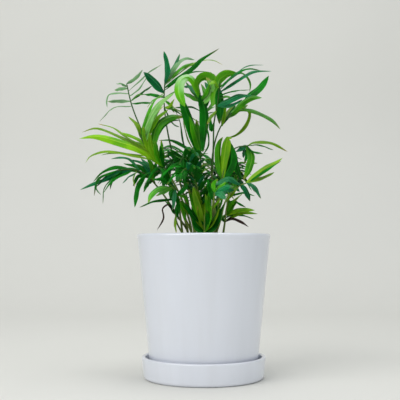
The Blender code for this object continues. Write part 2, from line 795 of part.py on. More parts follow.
def bent_clear(route, width, share, obstacles):
    """The leaflet's route, with its tip moved as little as keeps the blade clear."""
    chord = (route[-1] - route[0]).normalized()
    across = chord.cross(Vector((0, 0, 1))).normalized()
    over = across.cross(chord)
    for bend in BENDS:
        for way in (across, -across, over, -over) if bend else (across,):
            moved = [
                point + way * (bend * (index / (len(route) - 1)) ** 1.4)
                for index, point in enumerate(route)
            ]
            shape = Obstacle(blade_shape(
                moved, width + 2 * BLADE_CLEARANCE, BLADE_THICKNESS + 2 * BLADE_CLEARANCE, share
            ))
            if not any(shape.meets(obstacle) for obstacle in obstacles):
                return moved
    return None


def make_palms(finish):
    """Every leafy stem as one solid, its leaflets bent clear of the other stems. One that
    can't be bent clear is left out."""
    midribs = {
        name: [midrib_of(palm["foot"], frond) for frond in palm["fronds"]]
        for name, palm in PALMS.items()
    }
    shapes = {
        name: [
            tube_shape(midrib, PETIOLE_RADIUS, MIDRIB_END_RADIUS, TUBE_SIDES)
            for midrib in routes
        ]
        for name, routes in midribs.items()
    }
    obstacles = {name: [Obstacle(shape) for shape in made] for name, made in shapes.items()}
    for by_rule in (False, True):
        for name, palm in PALMS.items():
            others = [shape for other in obstacles if other != name for shape in obstacles[other]]
            for frond, midrib in zip(palm["fronds"], midribs[name]):
                if ("azimuth" in frond) != by_rule:
                    continue
                for width, share, route in leaflets_of(frond, midrib):
                    clear = bent_clear(route, width, share, others)
                    if clear is None:
                        continue
                    shapes[name].append(blade_shape(clear, width, BLADE_THICKNESS, share))
                    obstacles[name].append(Obstacle(shapes[name][-1]))
    for name, palm in PALMS.items():
        x, y = palm["foot"]
        stem = [
            Vector((x, y, z))
            for z in (SOIL_Z - HOLE_DEPTH + GAP, SOIL_Z + 4, STEM_TOP)
        ]
        base = mesh_object(
            name, *tube_shape(stem, STEM_RADIUS, STEM_NECK, STEM_SIDES), finish
        )
        combine(base, shapes[name], "UNION", "MANIFOLD")
        fill_voids(base.data)


def main():
    remove_everything()
    glaze = material("white_glaze", (0.86, 0.88, 0.9), 0.12)
    earth = material("potting_soil", (0.07, 0.045, 0.03), 0.95)
    leaf = material("palm_leaf", (0.07, 0.26, 0.04), 0.4)
    make_saucer(glaze)
    make_pot(glaze)
    make_soil(earth, [palm["foot"] for palm in PALMS.values()])
    make_palms(leaf)


main()
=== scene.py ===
"""Looks for the potted bamboo palm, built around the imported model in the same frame.

The fronds follow the same routes as the model's leafy stems, so every fine leaflet lies
where its solid one does. Lengths are millimetres, turned into metres where a mesh is made.
"""

import math
import random
from collections import namedtuple

import bpy
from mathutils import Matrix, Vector, noise
from mathutils.bvhtree import BVHTree


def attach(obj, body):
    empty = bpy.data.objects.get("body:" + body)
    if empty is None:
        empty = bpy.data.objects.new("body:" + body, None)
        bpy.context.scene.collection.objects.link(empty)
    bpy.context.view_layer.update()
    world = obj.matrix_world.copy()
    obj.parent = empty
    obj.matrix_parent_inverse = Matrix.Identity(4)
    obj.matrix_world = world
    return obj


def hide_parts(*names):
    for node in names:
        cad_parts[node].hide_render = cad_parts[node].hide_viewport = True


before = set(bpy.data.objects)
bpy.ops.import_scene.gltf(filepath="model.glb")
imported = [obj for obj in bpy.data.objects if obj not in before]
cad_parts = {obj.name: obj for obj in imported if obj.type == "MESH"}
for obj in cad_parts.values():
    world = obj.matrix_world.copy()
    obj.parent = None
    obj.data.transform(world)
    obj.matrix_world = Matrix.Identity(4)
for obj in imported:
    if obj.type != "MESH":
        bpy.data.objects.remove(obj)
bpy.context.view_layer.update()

MM = 0.001
UP = Vector((0, 0, 1))
GAP = 0.3  # between pieces that touch
ROUND_SIDES = 144
SHARP_ANGLE = math.radians(48)

# Saucer
SAUCER_HEIGHT = 24.4
SAUCER_FLOOR = 5.0
SAUCER_BASE_RADIUS = 66.9
SAUCER_RIM_RADIUS = 69.2
SAUCER_EDGE = 4.0
SAUCER_LIP = 1.6
SAUCER_FILLET = 1.2
SAUCER_CLEARANCE = 3.7

# Pot
POT_RIM_Z = 160.2
POT_RIM_RADIUS = 75.0
POT_TAPER = 0.1015
POT_WALL = 6.0
POT_FLOOR = 7.0
POT_LIP = 2.6
POT_FLARE = 0.9
POT_FLARE_HEIGHT = 6.5
POT_EDGE = 2.5
DRAIN_RADIUS = 7.0

# Soil
SOIL_Z = 140.0
SOIL_DOME = 2.0
SOIL_CHAMFER = 4.0
HOLE_DEPTH = 22.0
SOIL_RINGS = 26
SOIL_SIDES = 96
HEAP = 1.1  # height of the soil heaped at a stem
HEAP_SPREAD = 18.0  # square millimetres
CRUMBS = 420
CRUMB_SIDES = 6
CHIP_EVERY = 6  # one crumb in so many is a bark chip

# Palm
EYE_DISTANCE = 880.0
EYE_HEIGHT = 144.0
EYE_TILT = 0.062
STEM_RADIUS = 2.4
STEM_NECK = 1.5
STEM_TOP = 158.0
PETIOLE_RADIUS = 1.15
MIDRIB_END_RADIUS = 0.65
TUBE_SIDES = 4
MIDRIB_ROOT = (-8, 2)  # where a midrib starts and leaves its stem, over the stem's top
MIDRIB_STEPS = 8
DEPTH_CURVE = 1.2  # how late a seen midrib moves to its depth
LEAFLET_CURVE = 1.4
ARCH = ((0.12, 0.45), (0.35, 0.8), (0.7, 1.0))  # shares of a ruled frond's reach and rise
ROUTE_STEPS = 10
BLADE_STEPS = 20
ROOTS_PER_STEP = 8
BLADE_THICKNESS = 0.95
NARROWEST_BLADE = 5.5
MOST_FACING = 0.8
ROOF_SLOPE = 0.22
PLAIN_BLADE = ((0.0, 0.42), (0.3, 0.98), (0.65, 0.82))
CURVED_BLADE = ((0.0, 0.42), (0.2, 0.88), (0.4, 1.0), (0.6, 0.9), (0.8, 0.62))
HOOKED_BLADE = ((0.0, 0.4), (0.15, 0.6), (0.3, 0.78), (0.45, 0.9), (0.6, 1.0), (0.75, 0.98),
                (0.88, 0.66))
MOST_PLAIN_PLACES = 3
MOST_CURVED_PLACES = 6
BLADE_CLEARANCE = 0.5
BENDS = (0, 3, 6, 9, 13, 17, 22, 28)

# What the fine leaflets and stems have and the solid ones don't
FINE_STATIONS = 18
FINE_ACROSS = 6  # strips across each face of a blade
FINE_THICKNESS = 0.4
FINE_OUTLINE = ((0.0, 0.22), (0.06, 0.5), (0.16, 0.8), (0.3, 0.97), (0.45, 1.0), (0.6, 0.92),
                (0.74, 0.74), (0.86, 0.5), (0.94, 0.28), (1.0, 0.0))
FINE_HOOKED = ((0.0, 0.2), (0.08, 0.42), (0.2, 0.6), (0.35, 0.76), (0.5, 0.88), (0.65, 0.98),
               (0.78, 0.96), (0.88, 0.74), (0.95, 0.42), (1.0, 0.0))
ROLL = 0.16  # radians that a blade rocks along its length
PLEAT = 0.05  # share of a blade's half width
EDGE_WAVE = 0.35
KEEL = 0.25
FINE_TUBE_SIDES = 10
STEM_SIDES = 16
STEM_LEVEL = 1.5
STEM_SKIN = 0.16  # also the height of a stem's rings and half the thickness of a sheath
RING_SPACING = 9.0
SHEATH_SIDES = 8
SHEATH_ROWS = 5
SHEATH_SPACING = 5
SHEATH_WRAP = 250  # degrees around the stem at its foot
SHEATH_NARROWING = 130
STEPS_PER_GAP = 3  # between two pairs of the model there are two more pairs
ADDED_WIDTH = 0.85

# The (x, y) of each stem's foot
FEET = {
    "palm_01": (-16, 8), "palm_02": (-9, -3), "palm_03": (-13, -13), "palm_04": (-3, 4),
    "palm_05": (5, -5), "palm_06": (12, 9), "palm_07": (14, -10), "palm_08": (22, -2),
    "palm_09": (1, -20), "palm_10": (-6, 18), "palm_11": (10, 20), "palm_12": (-24, -2),
}

# Fronds as seen from the front. "route" runs up the petiole and midrib, "depth" is the y of
# its end and "bare" the share of the route that carries no leaflets. A leaflet is (color,
# width, depth of its tip past its root, root, places on the way, tip), and only this script
# has the added ones.
# The deep color is partly painted shade, given to leaflets that lie in shadow.
Seen = namedtuple("Seen", "stem depth bare route leaflets added")
# Leaflets colored "pale" carry a painted sheen of light on their upper face.
SEEN = [
    Seen("palm_01", 30, 0.86, [
        (-22, 178), (-34, 206), (-53, 243), (-73, 284), (-82, 308), (-87, 330),
    ], [
        ("grey", 5.3, 8, (-82, 310), (-96, 311), (-109, 310)),
        ("grey", 3.3, -14, (-85, 318), (-97, 320), (-107, 318), (-110, 311), (-109, 303)),
        ("grey", 5.3, 20, (-86, 325), (-93, 325), (-101, 323)),
        ("grey", 4.4, -18, (-87, 328), (-93, 330), (-99, 330)),
        ("grey", 4.6, 10, (-86, 329), (-77, 337), (-69, 346)),
        ("grey", 2.7, 26, (-85, 321), (-72, 334), (-61, 344), (-47, 352)),
        ("grey", 2.7, -22, (-83, 315), (-73, 325), (-62, 341)),
        ("deep", 3.3, 30, (-81, 311), (-69, 321), (-58, 328)),
        ("deep", 2.7, -12, (-81, 308), (-68, 309), (-56, 308)),
    ], [
        ("grey", 1.6, -26, (-80, 303), (-102, 303), (-118, 287)),
        ("green", 2.4, 14, (-82, 311), (-74, 318), (-64, 318)),
    ]),
    Seen("palm_01", -2, 0.52, [
        (-28, 178), (-45, 204), (-59, 221), (-71, 231), (-84, 233), (-98, 232),
    ], [
        ("blue", 3.1, 14, (-71, 231), (-82, 244), (-94, 247), (-105, 245)),
        ("deep", 5.5, 18, (-56, 220), (-70, 235), (-91, 240)),
        ("blue", 4.8, 10, (-54, 216), (-67, 239), (-87, 245)),
        ("deep", 4.8, 12, (-75, 232), (-98, 236), (-115, 230), (-125, 219)),
        ("blue", 4.4, -6, (-80, 233), (-98, 231), (-112, 223), (-122, 213)),
        ("blue", 4.8, 6, (-84, 232), (-103, 225), (-125, 217), (-140, 210)),
        ("deep", 3.1, -18, (-80, 230), (-102, 222), (-114, 206)),
        ("deep", 3.3, -12, (-98, 232), (-118, 224), (-122, 212), (-116, 204)),
        ("deep", 2.8, 16, (-98, 232), (-120, 223), (-124, 203)),
        ("olive", 2.6, -20, (-77, 232), (-80, 223), (-78, 213)),
        ("deep", 6.2, -16, (-64, 228), (-75, 213), (-78, 190)),
        ("deep", 4.8, -22, (-58, 220), (-64, 217), (-68, 207)),
    ], [
        ("blue", 2.6, -18, (-75, 232), (-85, 225), (-92, 217)),
        ("deep", 2, 8, (-92, 232), (-104, 219), (-106, 210)),
        ("deep", 1.7, 4, (-92, 232), (-105, 222), (-113, 211), (-114, 194)),
        ("deep", 4.4, 6, (-62, 226), (-80, 234), (-97, 233)),
        ("blue", 5.5, 14, (-56, 220), (-62, 236), (-71, 246)),
        ("deep", 5.5, 4, (-58, 221), (-56, 235), (-52, 247)),
        ("deep", 5, 2, (-62, 226), (-74, 226), (-80, 214)),
        ("green", 5, -2, (-56, 220), (-58, 236), (-66, 249)),
    ]),
    Seen("palm_02", 12, 0.84, [
        (-14, 178), (-23, 205), (-32, 238), (-38, 262), (-43, 290), (-45, 315), (-44, 331),
    ], [
        ("blue", 7.5, -10, (-44, 331), (-42, 347), (-45, 367)),
        ("blue", 6.6, 18, (-44, 331), (-35, 347), (-27, 364)),
        ("grey", 6.6, 34, (-44, 329), (-31, 352), (-20, 359), (-10, 357)),
        ("deep", 5.7, -30, (-44, 326), (-14, 347), (-2, 358), (18, 370)),
        ("green", 4.8, 8, (-44, 330), (-25, 348), (-11, 354)),
        ("blue", 10, -24, (-45, 321), (-56, 333), (-68, 343)),
        ("deep", 4.8, 22, (-45, 315), (-57, 318), (-67, 318)),
        ("olive", 2.4, 40, (-44, 328), (-14, 352), (8, 357), (22, 351)),
    ], [
        ("deep", 2.4, 26, (-44, 323), (-20, 341), (-2, 344), (14, 340)),
        ("green", 2.2, 12, (-45, 315), (-37, 319), (-32, 322)),
        ("green", 3, 12, (-44, 301), (-33, 301), (-24, 294)),
        ("deep", 2.6, 18, (-43, 288), (-35, 286), (-27, 281)),
        ("green", 3.6, 16, (-44, 329), (-30, 344), (-18, 350), (-6, 353)),
        ("green", 2.6, -16, (-45, 316), (-57, 312), (-64, 303)),
        ("green", 3.3, 10, (-45, 312), (-38, 307), (-33, 297)),
        ("olive", 3.6, -8, (-44, 302), (-39, 305), (-33, 313)),
    ]),
    Seen("palm_03", -26, 0.46, [
        (-17, 178), (-25, 200), (-36, 222), (-48, 240), (-60, 252), (-69, 264), (-73, 275),
    ], [
        ("fresh", 8.8, -14, (-48, 237), (-68, 254.5), (-90, 262.5), (-121, 270.5), (-141, 268)),
        ("olive", 4, 10, (-60, 252), (-80, 263), (-98, 272), (-121, 280), (-138, 275)),
        ("olive", 2.8, 22, (-66, 258), (-84, 268), (-101, 280), (-120, 285)),
        ("olive", 3.1, -24, (-52, 241), (-78, 249), (-108, 254), (-127, 249), (-134, 240)),
        ("pale", 9.5, -6, (-71, 268), (-64.5, 284), (-57, 298), (-48, 310), (-33, 320)),
        ("olive", 5.3, 8, (-69, 268), (-74, 283), (-85, 293)),
        ("green", 9.4, 16, (-60, 252), (-53, 281), (-38, 292), (-19, 293)),
        ("fresh", 7.7, -10, (-52, 243), (-60, 257), (-66, 270), (-68, 282)),
        ("fresh", 7.3, -16, (-48, 240), (-58, 257), (-61, 275)),
        ("green", 6.6, -20, (-46, 236), (-52, 250), (-55, 266)),
        ("fresh", 8.4, 12, (-67, 262), (-62, 279), (-54, 291), (-40, 301)),
    ], [
        ("olive", 2.2, 6, (-56, 247), (-84, 251), (-104, 252), (-117, 249)),
        ("green", 3.7, 8, (-72, 268), (-68.5, 282), (-62, 300), (-55, 312), (-44, 320)),
        ("pale", 4.2, -12, (-66, 262), (-62, 281), (-55, 296), (-45, 305)),
        ("deep", 4, 20, (-54, 260), (-48, 280), (-37, 288), (-26, 289)),
        ("fresh", 4.2, 12, (-60, 253), (-70, 265), (-82, 271), (-98, 276)),
        ("fresh", 5.5, -8, (-50, 241), (-64, 252), (-77, 258)),
        ("fresh", 4.6, 4, (-58, 251), (-74, 262), (-92, 267)),
        ("deep", 4.4, -26, (-44, 233), (-47, 250), (-49, 262)),
        ("green", 4.8, -10, (-46, 236), (-46, 252), (-48, 267)),
    ]),
    Seen("palm_03", -36, 0.6, [
        (-20, 176), (-26, 195), (-32, 209), (-38, 216),
    ], [
        ("green", 7, -10, (-34, 214), (-50, 212), (-59, 205), (-63, 195)),
        ("deep", 3.7, 4, (-28, 200), (-45, 199), (-58, 197), (-73, 190)),
        ("blue", 5.9, -16, (-31, 212), (-34, 204), (-35, 187)),
        ("deep", 5.5, -22, (-38, 216), (-46, 222), (-58, 222)),
        ("deep", 5.5, 8, (-38, 216), (-42, 228), (-50, 236)),
    ], [
        ("deep", 4.2, -12, (-30, 208), (-29, 197), (-27, 184)),
        ("deep", 5.5, 12, (-31, 212), (-37, 207), (-38, 198)),
        ("deep", 5.5, -4, (-30, 206), (-23, 211), (-17, 219)),
        ("green", 5, -14, (-36, 213), (-46, 208), (-54, 203)),
        ("green", 4.4, 6, (-30, 206), (-20, 202), (-16, 192)),
        ("green", 4.4, 10, (-27, 198), (-21, 192), (-17, 182)),
        ("deep", 4.4, 14, (-27, 198), (-31, 188), (-29, 176)),
        ("green", 3.7, 4, (-26, 198), (-22, 186), (-20, 172)),
    ]),
    Seen("palm_04", -4, 0.52, [
        (-3, 180), (-3, 205), (-3, 232), (-4, 262), (-3, 290), (-3, 308), (-4, 320),
    ], [
        ("deep", 12.8, -16, (-4, 248), (-10, 273), (-19, 297), (-27, 318)),
        ("green", 7.7, -24, (-4, 252), (-9, 272), (-16, 293)),
        ("deep", 11.4, -14, (-4, 318), (2, 294), (-1, 252)),
        ("bright", 11, -24, (-3, 313), (-8, 326), (-12.5, 335), (-19, 338), (-26, 334),
         (-29, 325), (-27, 315), (-21, 304)),
        ("bright", 12.1, -14, (-4, 317), (-7, 328), (-4, 335), (2, 337.5), (8, 335), (11.5, 327),
         (11.5, 315), (10, 304)),
        ("blue", 7.3, 22, (-3, 312), (-8, 321), (-15, 327), (-23, 327)),
        ("green", 5.5, -14, (-3, 312), (2, 320), (7, 331)),
        ("green", 5.5, 16, (-3, 310), (-14, 316), (-23, 320)),
        ("deep", 3.5, 26, (-3, 300), (-13, 304), (-22, 304), (-33, 303)),
        ("deep", 3.9, 16, (-4, 248), (-18, 257), (-35, 266), (-51, 266)),
    ], [
        ("deep", 1.8, 30, (-4, 240), (-20, 256), (-26, 285), (-32, 300)),
        ("olive", 1.8, 22, (-4, 246), (-15, 262), (-21, 280), (-23, 294)),
        ("green", 3.3, 20, (-3, 298), (7, 303), (13, 304)),
        ("deep", 1.8, 24, (-3, 292), (6, 297), (13, 298)),
        ("olive", 2.6, 34, (-4, 286), (-24, 298), (-35, 303), (-41, 310)),
        ("green", 4.4, 30, (-3, 308), (1, 318), (-3, 330)),
        ("green", 7.7, 8, (-4, 250), (-5, 270), (-8, 290)),
        ("blue", 6.6, 24, (-3, 308), (5, 321), (1, 332)),
        ("deep", 2, -22, (-3, 246), (5, 262), (3, 284)),
        ("deep", 4.8, 4, (-2, 300), (4, 310), (5, 319)),
        ("pale", 9, -20, (-3, 308), (6, 318), (8, 327), (3, 337)),
        ("green", 5, 14, (-3, 298), (5, 302), (10, 309)),
        ("green", 5, 26, (-3, 310), (-12, 322), (-20, 332)),
    ]),
    Seen("palm_05", -24, 0.76, [
        (6, 180), (8, 205), (10, 235), (11, 262), (12, 290), (16, 310), (18, 331),
    ], [
        ("bright", 9.4, 14, (18, 324), (17.5, 333.5), (26, 340), (38, 341.5)),
        ("blue", 3.7, 26, (18, 319), (45, 338), (58, 344), (77, 344)),
        ("deep", 4, 12, (18, 326), (37, 342), (51, 347), (64, 345)),
        ("green", 3.3, 34, (18, 326), (38, 342), (48, 339), (53, 330), (52, 320)),
        ("deep", 9.2, 12, (18, 324), (19, 305), (18, 284)),
        ("blue", 7, -14, (15, 304), (26, 310), (39, 316), (55, 317)),
        ("olive", 4.4, -14, (13, 300), (8, 293), (4, 284)),
    ], [
        ("blue", 1.9, -24, (18, 322), (33, 338), (49, 350), (68, 351)),
        ("deep", 2, -20, (18, 318), (34, 322), (53, 323)),
        ("fresh", 4.4, -26, (18, 326), (12, 332), (6, 329)),
        ("green", 3.7, 24, (17, 314), (25, 316), (33, 314)),
        ("blue", 5.5, -8, (15, 304), (30, 306), (44, 312)),
        ("deep", 4, 10, (11, 262), (8, 278), (7, 294)),
    ]),
    Seen("palm_05", -60, 0.4, [
        (7, 174), (9, 186), (11, 198), (13, 207),
    ], [
        ("green", 5.5, -10, (9, 186), (6, 199), (9, 211)),
        ("blue", 7.3, -16, (13, 207), (19, 206), (24, 199)),
        ("green", 6.6, -6, (12, 203), (18, 213), (25, 219)),
        ("fresh", 2.8, -20, (9, 188), (17, 198), (27, 204)),
        ("blue", 5.1, -12, (13, 206), (24, 213), (34, 214)),
        ("deep", 5.5, -18, (11, 198), (8, 211), (4, 221)),
        ("green", 5.5, 4, (13, 207), (12, 216), (16, 222)),
    ], []),
    Seen("palm_06", 26, 0.76, [
        (13, 180), (10, 210), (9, 238), (12, 260), (20, 284), (33, 298), (43, 304),
    ], [
        ("deep", 6.6, 24, (22, 284), (28, 297), (36, 306)),
        ("green", 7.7, -20, (31, 296), (42, 307), (54, 314), (66, 314)),
        ("deep", 10.3, 12, (42, 304), (52, 317), (63, 326), (73.5, 339)),
        ("green", 5.5, -26, (34, 298), (48, 301), (62, 297), (77, 289), (87, 278)),
        ("olive", 4, 28, (43, 304), (52, 298), (51, 288), (45, 278), (36, 271), (25, 268)),
        ("fresh", 5.9, -12, (20, 281), (22, 296), (25, 309)),
    ], [
        ("green", 5.5, 18, (26, 290), (38, 300), (47, 308)),
        ("green", 6.6, 14, (31, 296), (40, 302), (50, 306)),
        ("olive", 5.1, 20, (22, 284), (25, 296), (34, 306)),
    ]),
    Seen("palm_07", -18, 0.48, [
        (16, 180), (18, 205), (23, 232), (31, 252), (41, 260), (51, 260),
    ], [
        ("deep", 10.3, -6, (22, 222), (31, 241), (31, 263)),
        ("deep", 7, 10, (34, 255), (36.5, 240), (43, 221)),
        ("green", 8.2, -14, (50, 260), (54.5, 248), (51.5, 234), (45, 221)),
        ("olive", 4.2, 6, (50, 260), (58, 264), (77, 263), (95, 253)),
        ("deep", 2.6, 18, (51, 260), (63, 261), (79, 255)),
        ("deep", 2.6, -6, (49, 260), (55, 254), (67, 251)),
        ("fresh", 9.5, -10, (20, 219), (21, 231), (22.5, 243), (24, 254), (25.5, 263), (28, 269),
         (32, 268)),
        ("green", 8.1, -4, (21, 222), (18, 238), (16.5, 252), (18, 263), (22, 270)),
    ], [
        ("blue", 5.1, 4, (50, 260), (44, 258), (36, 253)),
        ("blue", 5, 12, (41, 260), (46, 254), (45, 246)),
        ("olive", 2, 12, (48, 260), (54, 243), (61, 240)),
        ("deep", 5.5, 8, (23, 232), (24, 250), (27, 262)),
        ("deep", 5, 6, (50, 260), (48, 250), (46, 240)),
    ]),
    Seen("palm_07", -44, 0.48, [
        (19, 176), (24, 196), (32, 208), (41, 215), (49, 218),
    ], [
        ("olive", 6.6, 12, (48, 218), (66, 232), (89, 246)),
        ("deep", 2.4, 4, (47, 218), (66, 230), (88, 243)),
        ("olive", 4.4, 16, (49, 218), (66, 224), (80, 230)),
        ("blue", 5.3, -8, (49, 218), (57, 214), (62, 206), (64.5, 200)),
        ("blue", 6.6, -20, (42, 216), (29, 223), (14, 215)),
        ("blue", 5.5, -4, (44, 216), (49, 207), (52.5, 197)),
        ("blue", 6.6, -24, (34, 210), (24, 213), (13, 206)),
        ("deep", 4.8, 10, (30, 206), (28, 214), (23, 222)),
    ], []),
    Seen("palm_08", -8, 0.3, [
        (24, 174), (25, 184), (27, 196), (30, 208),
    ], [
        ("deep", 2.8, -10, (27, 197), (36, 197), (48, 190)),
        ("deep", 2.2, 10, (29, 203), (38, 206), (47, 207), (58, 203)),
        ("fresh", 5.5, -14, (24, 181), (34, 186), (44, 188), (58, 187)),
        ("deep", 2.6, 8, (24, 178), (31, 182), (43, 182), (57, 177)),
        ("dead", 3, -22, (24, 174), (31, 178), (41, 175), (51, 168)),
        ("green", 5.5, 6, (30, 208), (34, 216), (36, 228)),
        ("deep", 4.4, 16, (29, 204), (22, 212), (14, 216)),
        ("deep", 5.5, -6, (24, 174), (18, 184), (13, 196)),
    ], [
        ("green", 4.4, 10, (25, 182), (17, 176), (11, 168)),
        ("fresh", 2.8, -6, (27, 196), (28, 206), (31, 216)),
        ("fresh", 3.7, -8, (24, 176), (36, 182), (47, 184.5), (61, 183)),
        ("olive", 2.2, 12, (25, 186), (34, 198), (44, 206)),
        ("green", 5.5, 6, (29, 205), (25, 214), (19, 220)),
        ("green", 5.1, -10, (25, 186), (30, 194), (36, 199)),
        ("olive", 3.3, -4, (28, 200), (34, 209), (41, 215)),
        ("green", 5, 2, (24, 182), (28, 192), (26, 203)),
        ("green", 5, -8, (24, 181), (31, 190), (38, 198)),
        ("blue", 4.8, 6, (29, 206), (36, 212), (41, 208)),
    ]),
    Seen("palm_09", -25, 0.34, [
        (1, 164), (1, 173), (1, 182),
    ], [
        ("fresh", 10.4, -12, (1, 174), (-4, 193), (-12, 214)),
        ("fresh", 6.4, -6, (1, 175), (2, 195), (5, 215)),
        ("green", 7.6, -8, (1, 162), (9, 184), (20, 207)),
        ("green", 8.8, -4, (0, 174), (-8, 192), (-17, 211)),
        ("deep", 6.2, -16, (1, 164), (-11, 180), (-22, 195)),
        ("deep", 9.9, 4, (1, 161), (8, 178), (14, 199)),
        ("deep", 9.9, 2, (1, 161), (-6, 176), (-13, 194)),
    ], [
        ("deep", 7.7, 8, (1, 170), (-2, 190), (-4, 208)),
        ("deep", 4.6, -2, (1, 161), (13, 176), (24, 196)),
        ("deep", 8.8, -10, (1, 161), (2, 172), (4, 190)),
        ("olive", 3.3, -14, (1, 166), (-13, 181), (-24, 190)),
        ("deep", 8.8, 6, (1, 161), (9, 170), (17, 186)),
        ("deep", 7.7, -4, (1, 161), (-7, 169), (-12, 181)),
        ("green", 5.5, -12, (1, 168), (8, 186), (12, 205)),
        ("deep", 6.6, 12, (1, 170), (10, 184), (21, 199)),
        ("deep", 5.5, -18, (1, 163), (4, 174), (3, 188)),
        ("olive", 2, -20, (1, 163), (-4, 176), (-7, 192)),
        ("green", 2.2, -22, (1, 162), (6, 175), (9, 192)),
        ("olive", 2, -18, (1, 162), (11, 174), (18, 190)),
        ("green", 4, 14, (1, 168), (9, 190), (12, 213)),
        ("green", 2.8, 8, (1, 166), (13, 184), (19, 206)),
        ("green", 2.9, 12, (1, 166), (-14, 184), (-23, 207)),
        ("green", 3.1, 18, (1, 164), (-17, 180), (-28, 200)),
    ]),
    Seen("palm_12", -4, 0.5, [
        (-30, 172), (-32, 183),
    ], [
        ("green", 3.7, -8, (-32, 180), (-31, 190), (-26, 201)),
        ("deep", 3.3, 8, (-32, 182), (-37, 192), (-44, 198)),
        ("olive", 3.5, -14, (-31, 181), (-33, 172), (-31, 161)),
        ("dead", 2, -6, (-32, 183), (-39, 194), (-47, 189), (-46, 178), (-53, 164)),
    ], []),
]

# Fronds at the back and sides, which grow from a rule in pairs
Ruled = namedtuple("Ruled", "stem azimuth reach height end bare pairs length width colors")
RULED = [
    Ruled("palm_02", 176, 36, 246, 238, 0.5, 4, 36, 7, "dark"),
    Ruled("palm_04", -122, 46, 246, 234, 0.45, 5, 38, 7, "dark"),
    Ruled("palm_06", 58, 52, 242, 232, 0.45, 5, 34, 7, "mixed"),
    Ruled("palm_09", -128, 42, 230, 223, 0.4, 5, 27, 6.6, "dark"),
    Ruled("palm_10", 112, 60, 262, 250, 0.5, 5, 46, 7.6, "mixed"),
    Ruled("palm_10", 134, 62, 248, 238, 0.45, 5, 38, 7.6, "dark"),
    Ruled("palm_11", 40, 42, 236, 228, 0.45, 4, 31, 7, "dark"),
    Ruled("palm_11", 84, 72, 250, 234, 0.46, 5, 46, 7.6, "mixed"),
    Ruled("palm_12", 178, 36, 232, 227, 0.5, 3, 28, 6.4, "dark"),
]


def mesh_object(name, points, faces, materials):
    """A smooth-shaded object from millimetre points."""
    mesh = bpy.data.meshes.new(name)
    mesh.from_pydata([Vector(point) * MM for point in points], [], faces)
    for finish in materials:
        mesh.materials.append(finish)
    mesh.shade_smooth()
    mesh.set_sharp_from_angle(angle=SHARP_ANGLE)
    made = bpy.data.objects.new(name, mesh)
    bpy.context.scene.collection.objects.link(made)
    return made


# Routes of the fronds, as in the model


def seen_at(x, z, y):
    """The real place of a point that lies at depth y and is seen from the front at (x, z)."""
    rise = (z - EYE_HEIGHT) / EYE_DISTANCE - EYE_TILT
    reach = (EYE_DISTANCE + y) / (1 - EYE_TILT * rise)
    across = x / EYE_DISTANCE * math.hypot(1, EYE_TILT)
    return Vector((across * reach, y, EYE_HEIGHT + (EYE_TILT + rise) * reach))


def smooth_route(places, steps):
    """Evenly spaced points, one more than steps, along a smooth curve through the places."""
    padded = [places[0] * 2 - places[1], *places, places[-1] * 2 - places[-2]]
    fine = []
    for p0, p1, p2, p3 in zip(padded, padded[1:], padded[2:], padded[3:]):
        for step in range(ROUTE_STEPS):
            t = step / ROUTE_STEPS
            fine.append(0.5 * (2 * p1 + (p2 - p0) * t + (2 * p0 - 5 * p1 + 4 * p2 - p3) * t**2
                               + (3 * p1 - p0 - 3 * p2 + p3) * t**3))
    fine.append(places[-1])
    travelled = [0.0]
    for start, end in zip(fine, fine[1:]):
        travelled.append(travelled[-1] + (end - start).length)
    made = []
    index = 1
    for step in range(steps + 1):
        distance = travelled[-1] * step / steps
        while index < len(fine) - 1 and travelled[index] < distance:
            index += 1
        stretch = max(travelled[index] - travelled[index - 1], 1e-9)
        share = min((distance - travelled[index - 1]) / stretch, 1.0)
        made.append(fine[index - 1].lerp(fine[index], share))
    return made


def tangent_at(route, index):
    """The direction of a route at one of its points."""
    before = route[max(index - 1, 0)]
    after = route[min(index + 1, len(route) - 1)]
    return (after - before).normalized()


def midrib_of(frond):
    """The route of a frond's petiole and midrib, from inside its stem to its end."""
    foot = FEET[frond.stem]
    places = [Vector((*foot, STEM_TOP + rise)) for rise in MIDRIB_ROOT]
    if isinstance(frond, Seen):
        for index, (x, z) in enumerate(frond.route, 1):
            share = (index / len(frond.route)) ** DEPTH_CURVE
            places.append(seen_at(x, z, foot[1] + (frond.depth - foot[1]) * share))
    else:
        angle = math.radians(frond.azimuth)
        outwards = Vector((math.cos(angle), math.sin(angle), 0)) * frond.reach
        rise = frond.height - STEM_TOP
        for out, up in ARCH:
            places.append(Vector((*foot, STEM_TOP + rise * up)) + outwards * out)
        places.append(Vector((*foot, frond.end)) + outwards)
    return smooth_route(places, MIDRIB_STEPS)


def leafy_part(midrib, bare):
    """Close points along the middle of a midrib, past the share of it that is bare."""
    points = [start.lerp(end, step / ROOTS_PER_STEP)
              for start, end in zip(midrib, midrib[1:]) for step in range(ROOTS_PER_STEP)]
    return points[round(bare * len(points)):] + [midrib[-1]]


def leaflet_route(leafy, depth, places):
    """A seen leaflet's route, from the nearest point of its midrib to its tip."""
    x, z = places[0]
    root = min(leafy, key=lambda point: (seen_at(x, z, point.y) - point).length)
    route = [root]
    for index, (x, z) in enumerate(places[1:], 1):
        share = (index / (len(places) - 1)) ** LEAFLET_CURVE
        route.append(seen_at(x, z, root.y + depth * share))
    return route


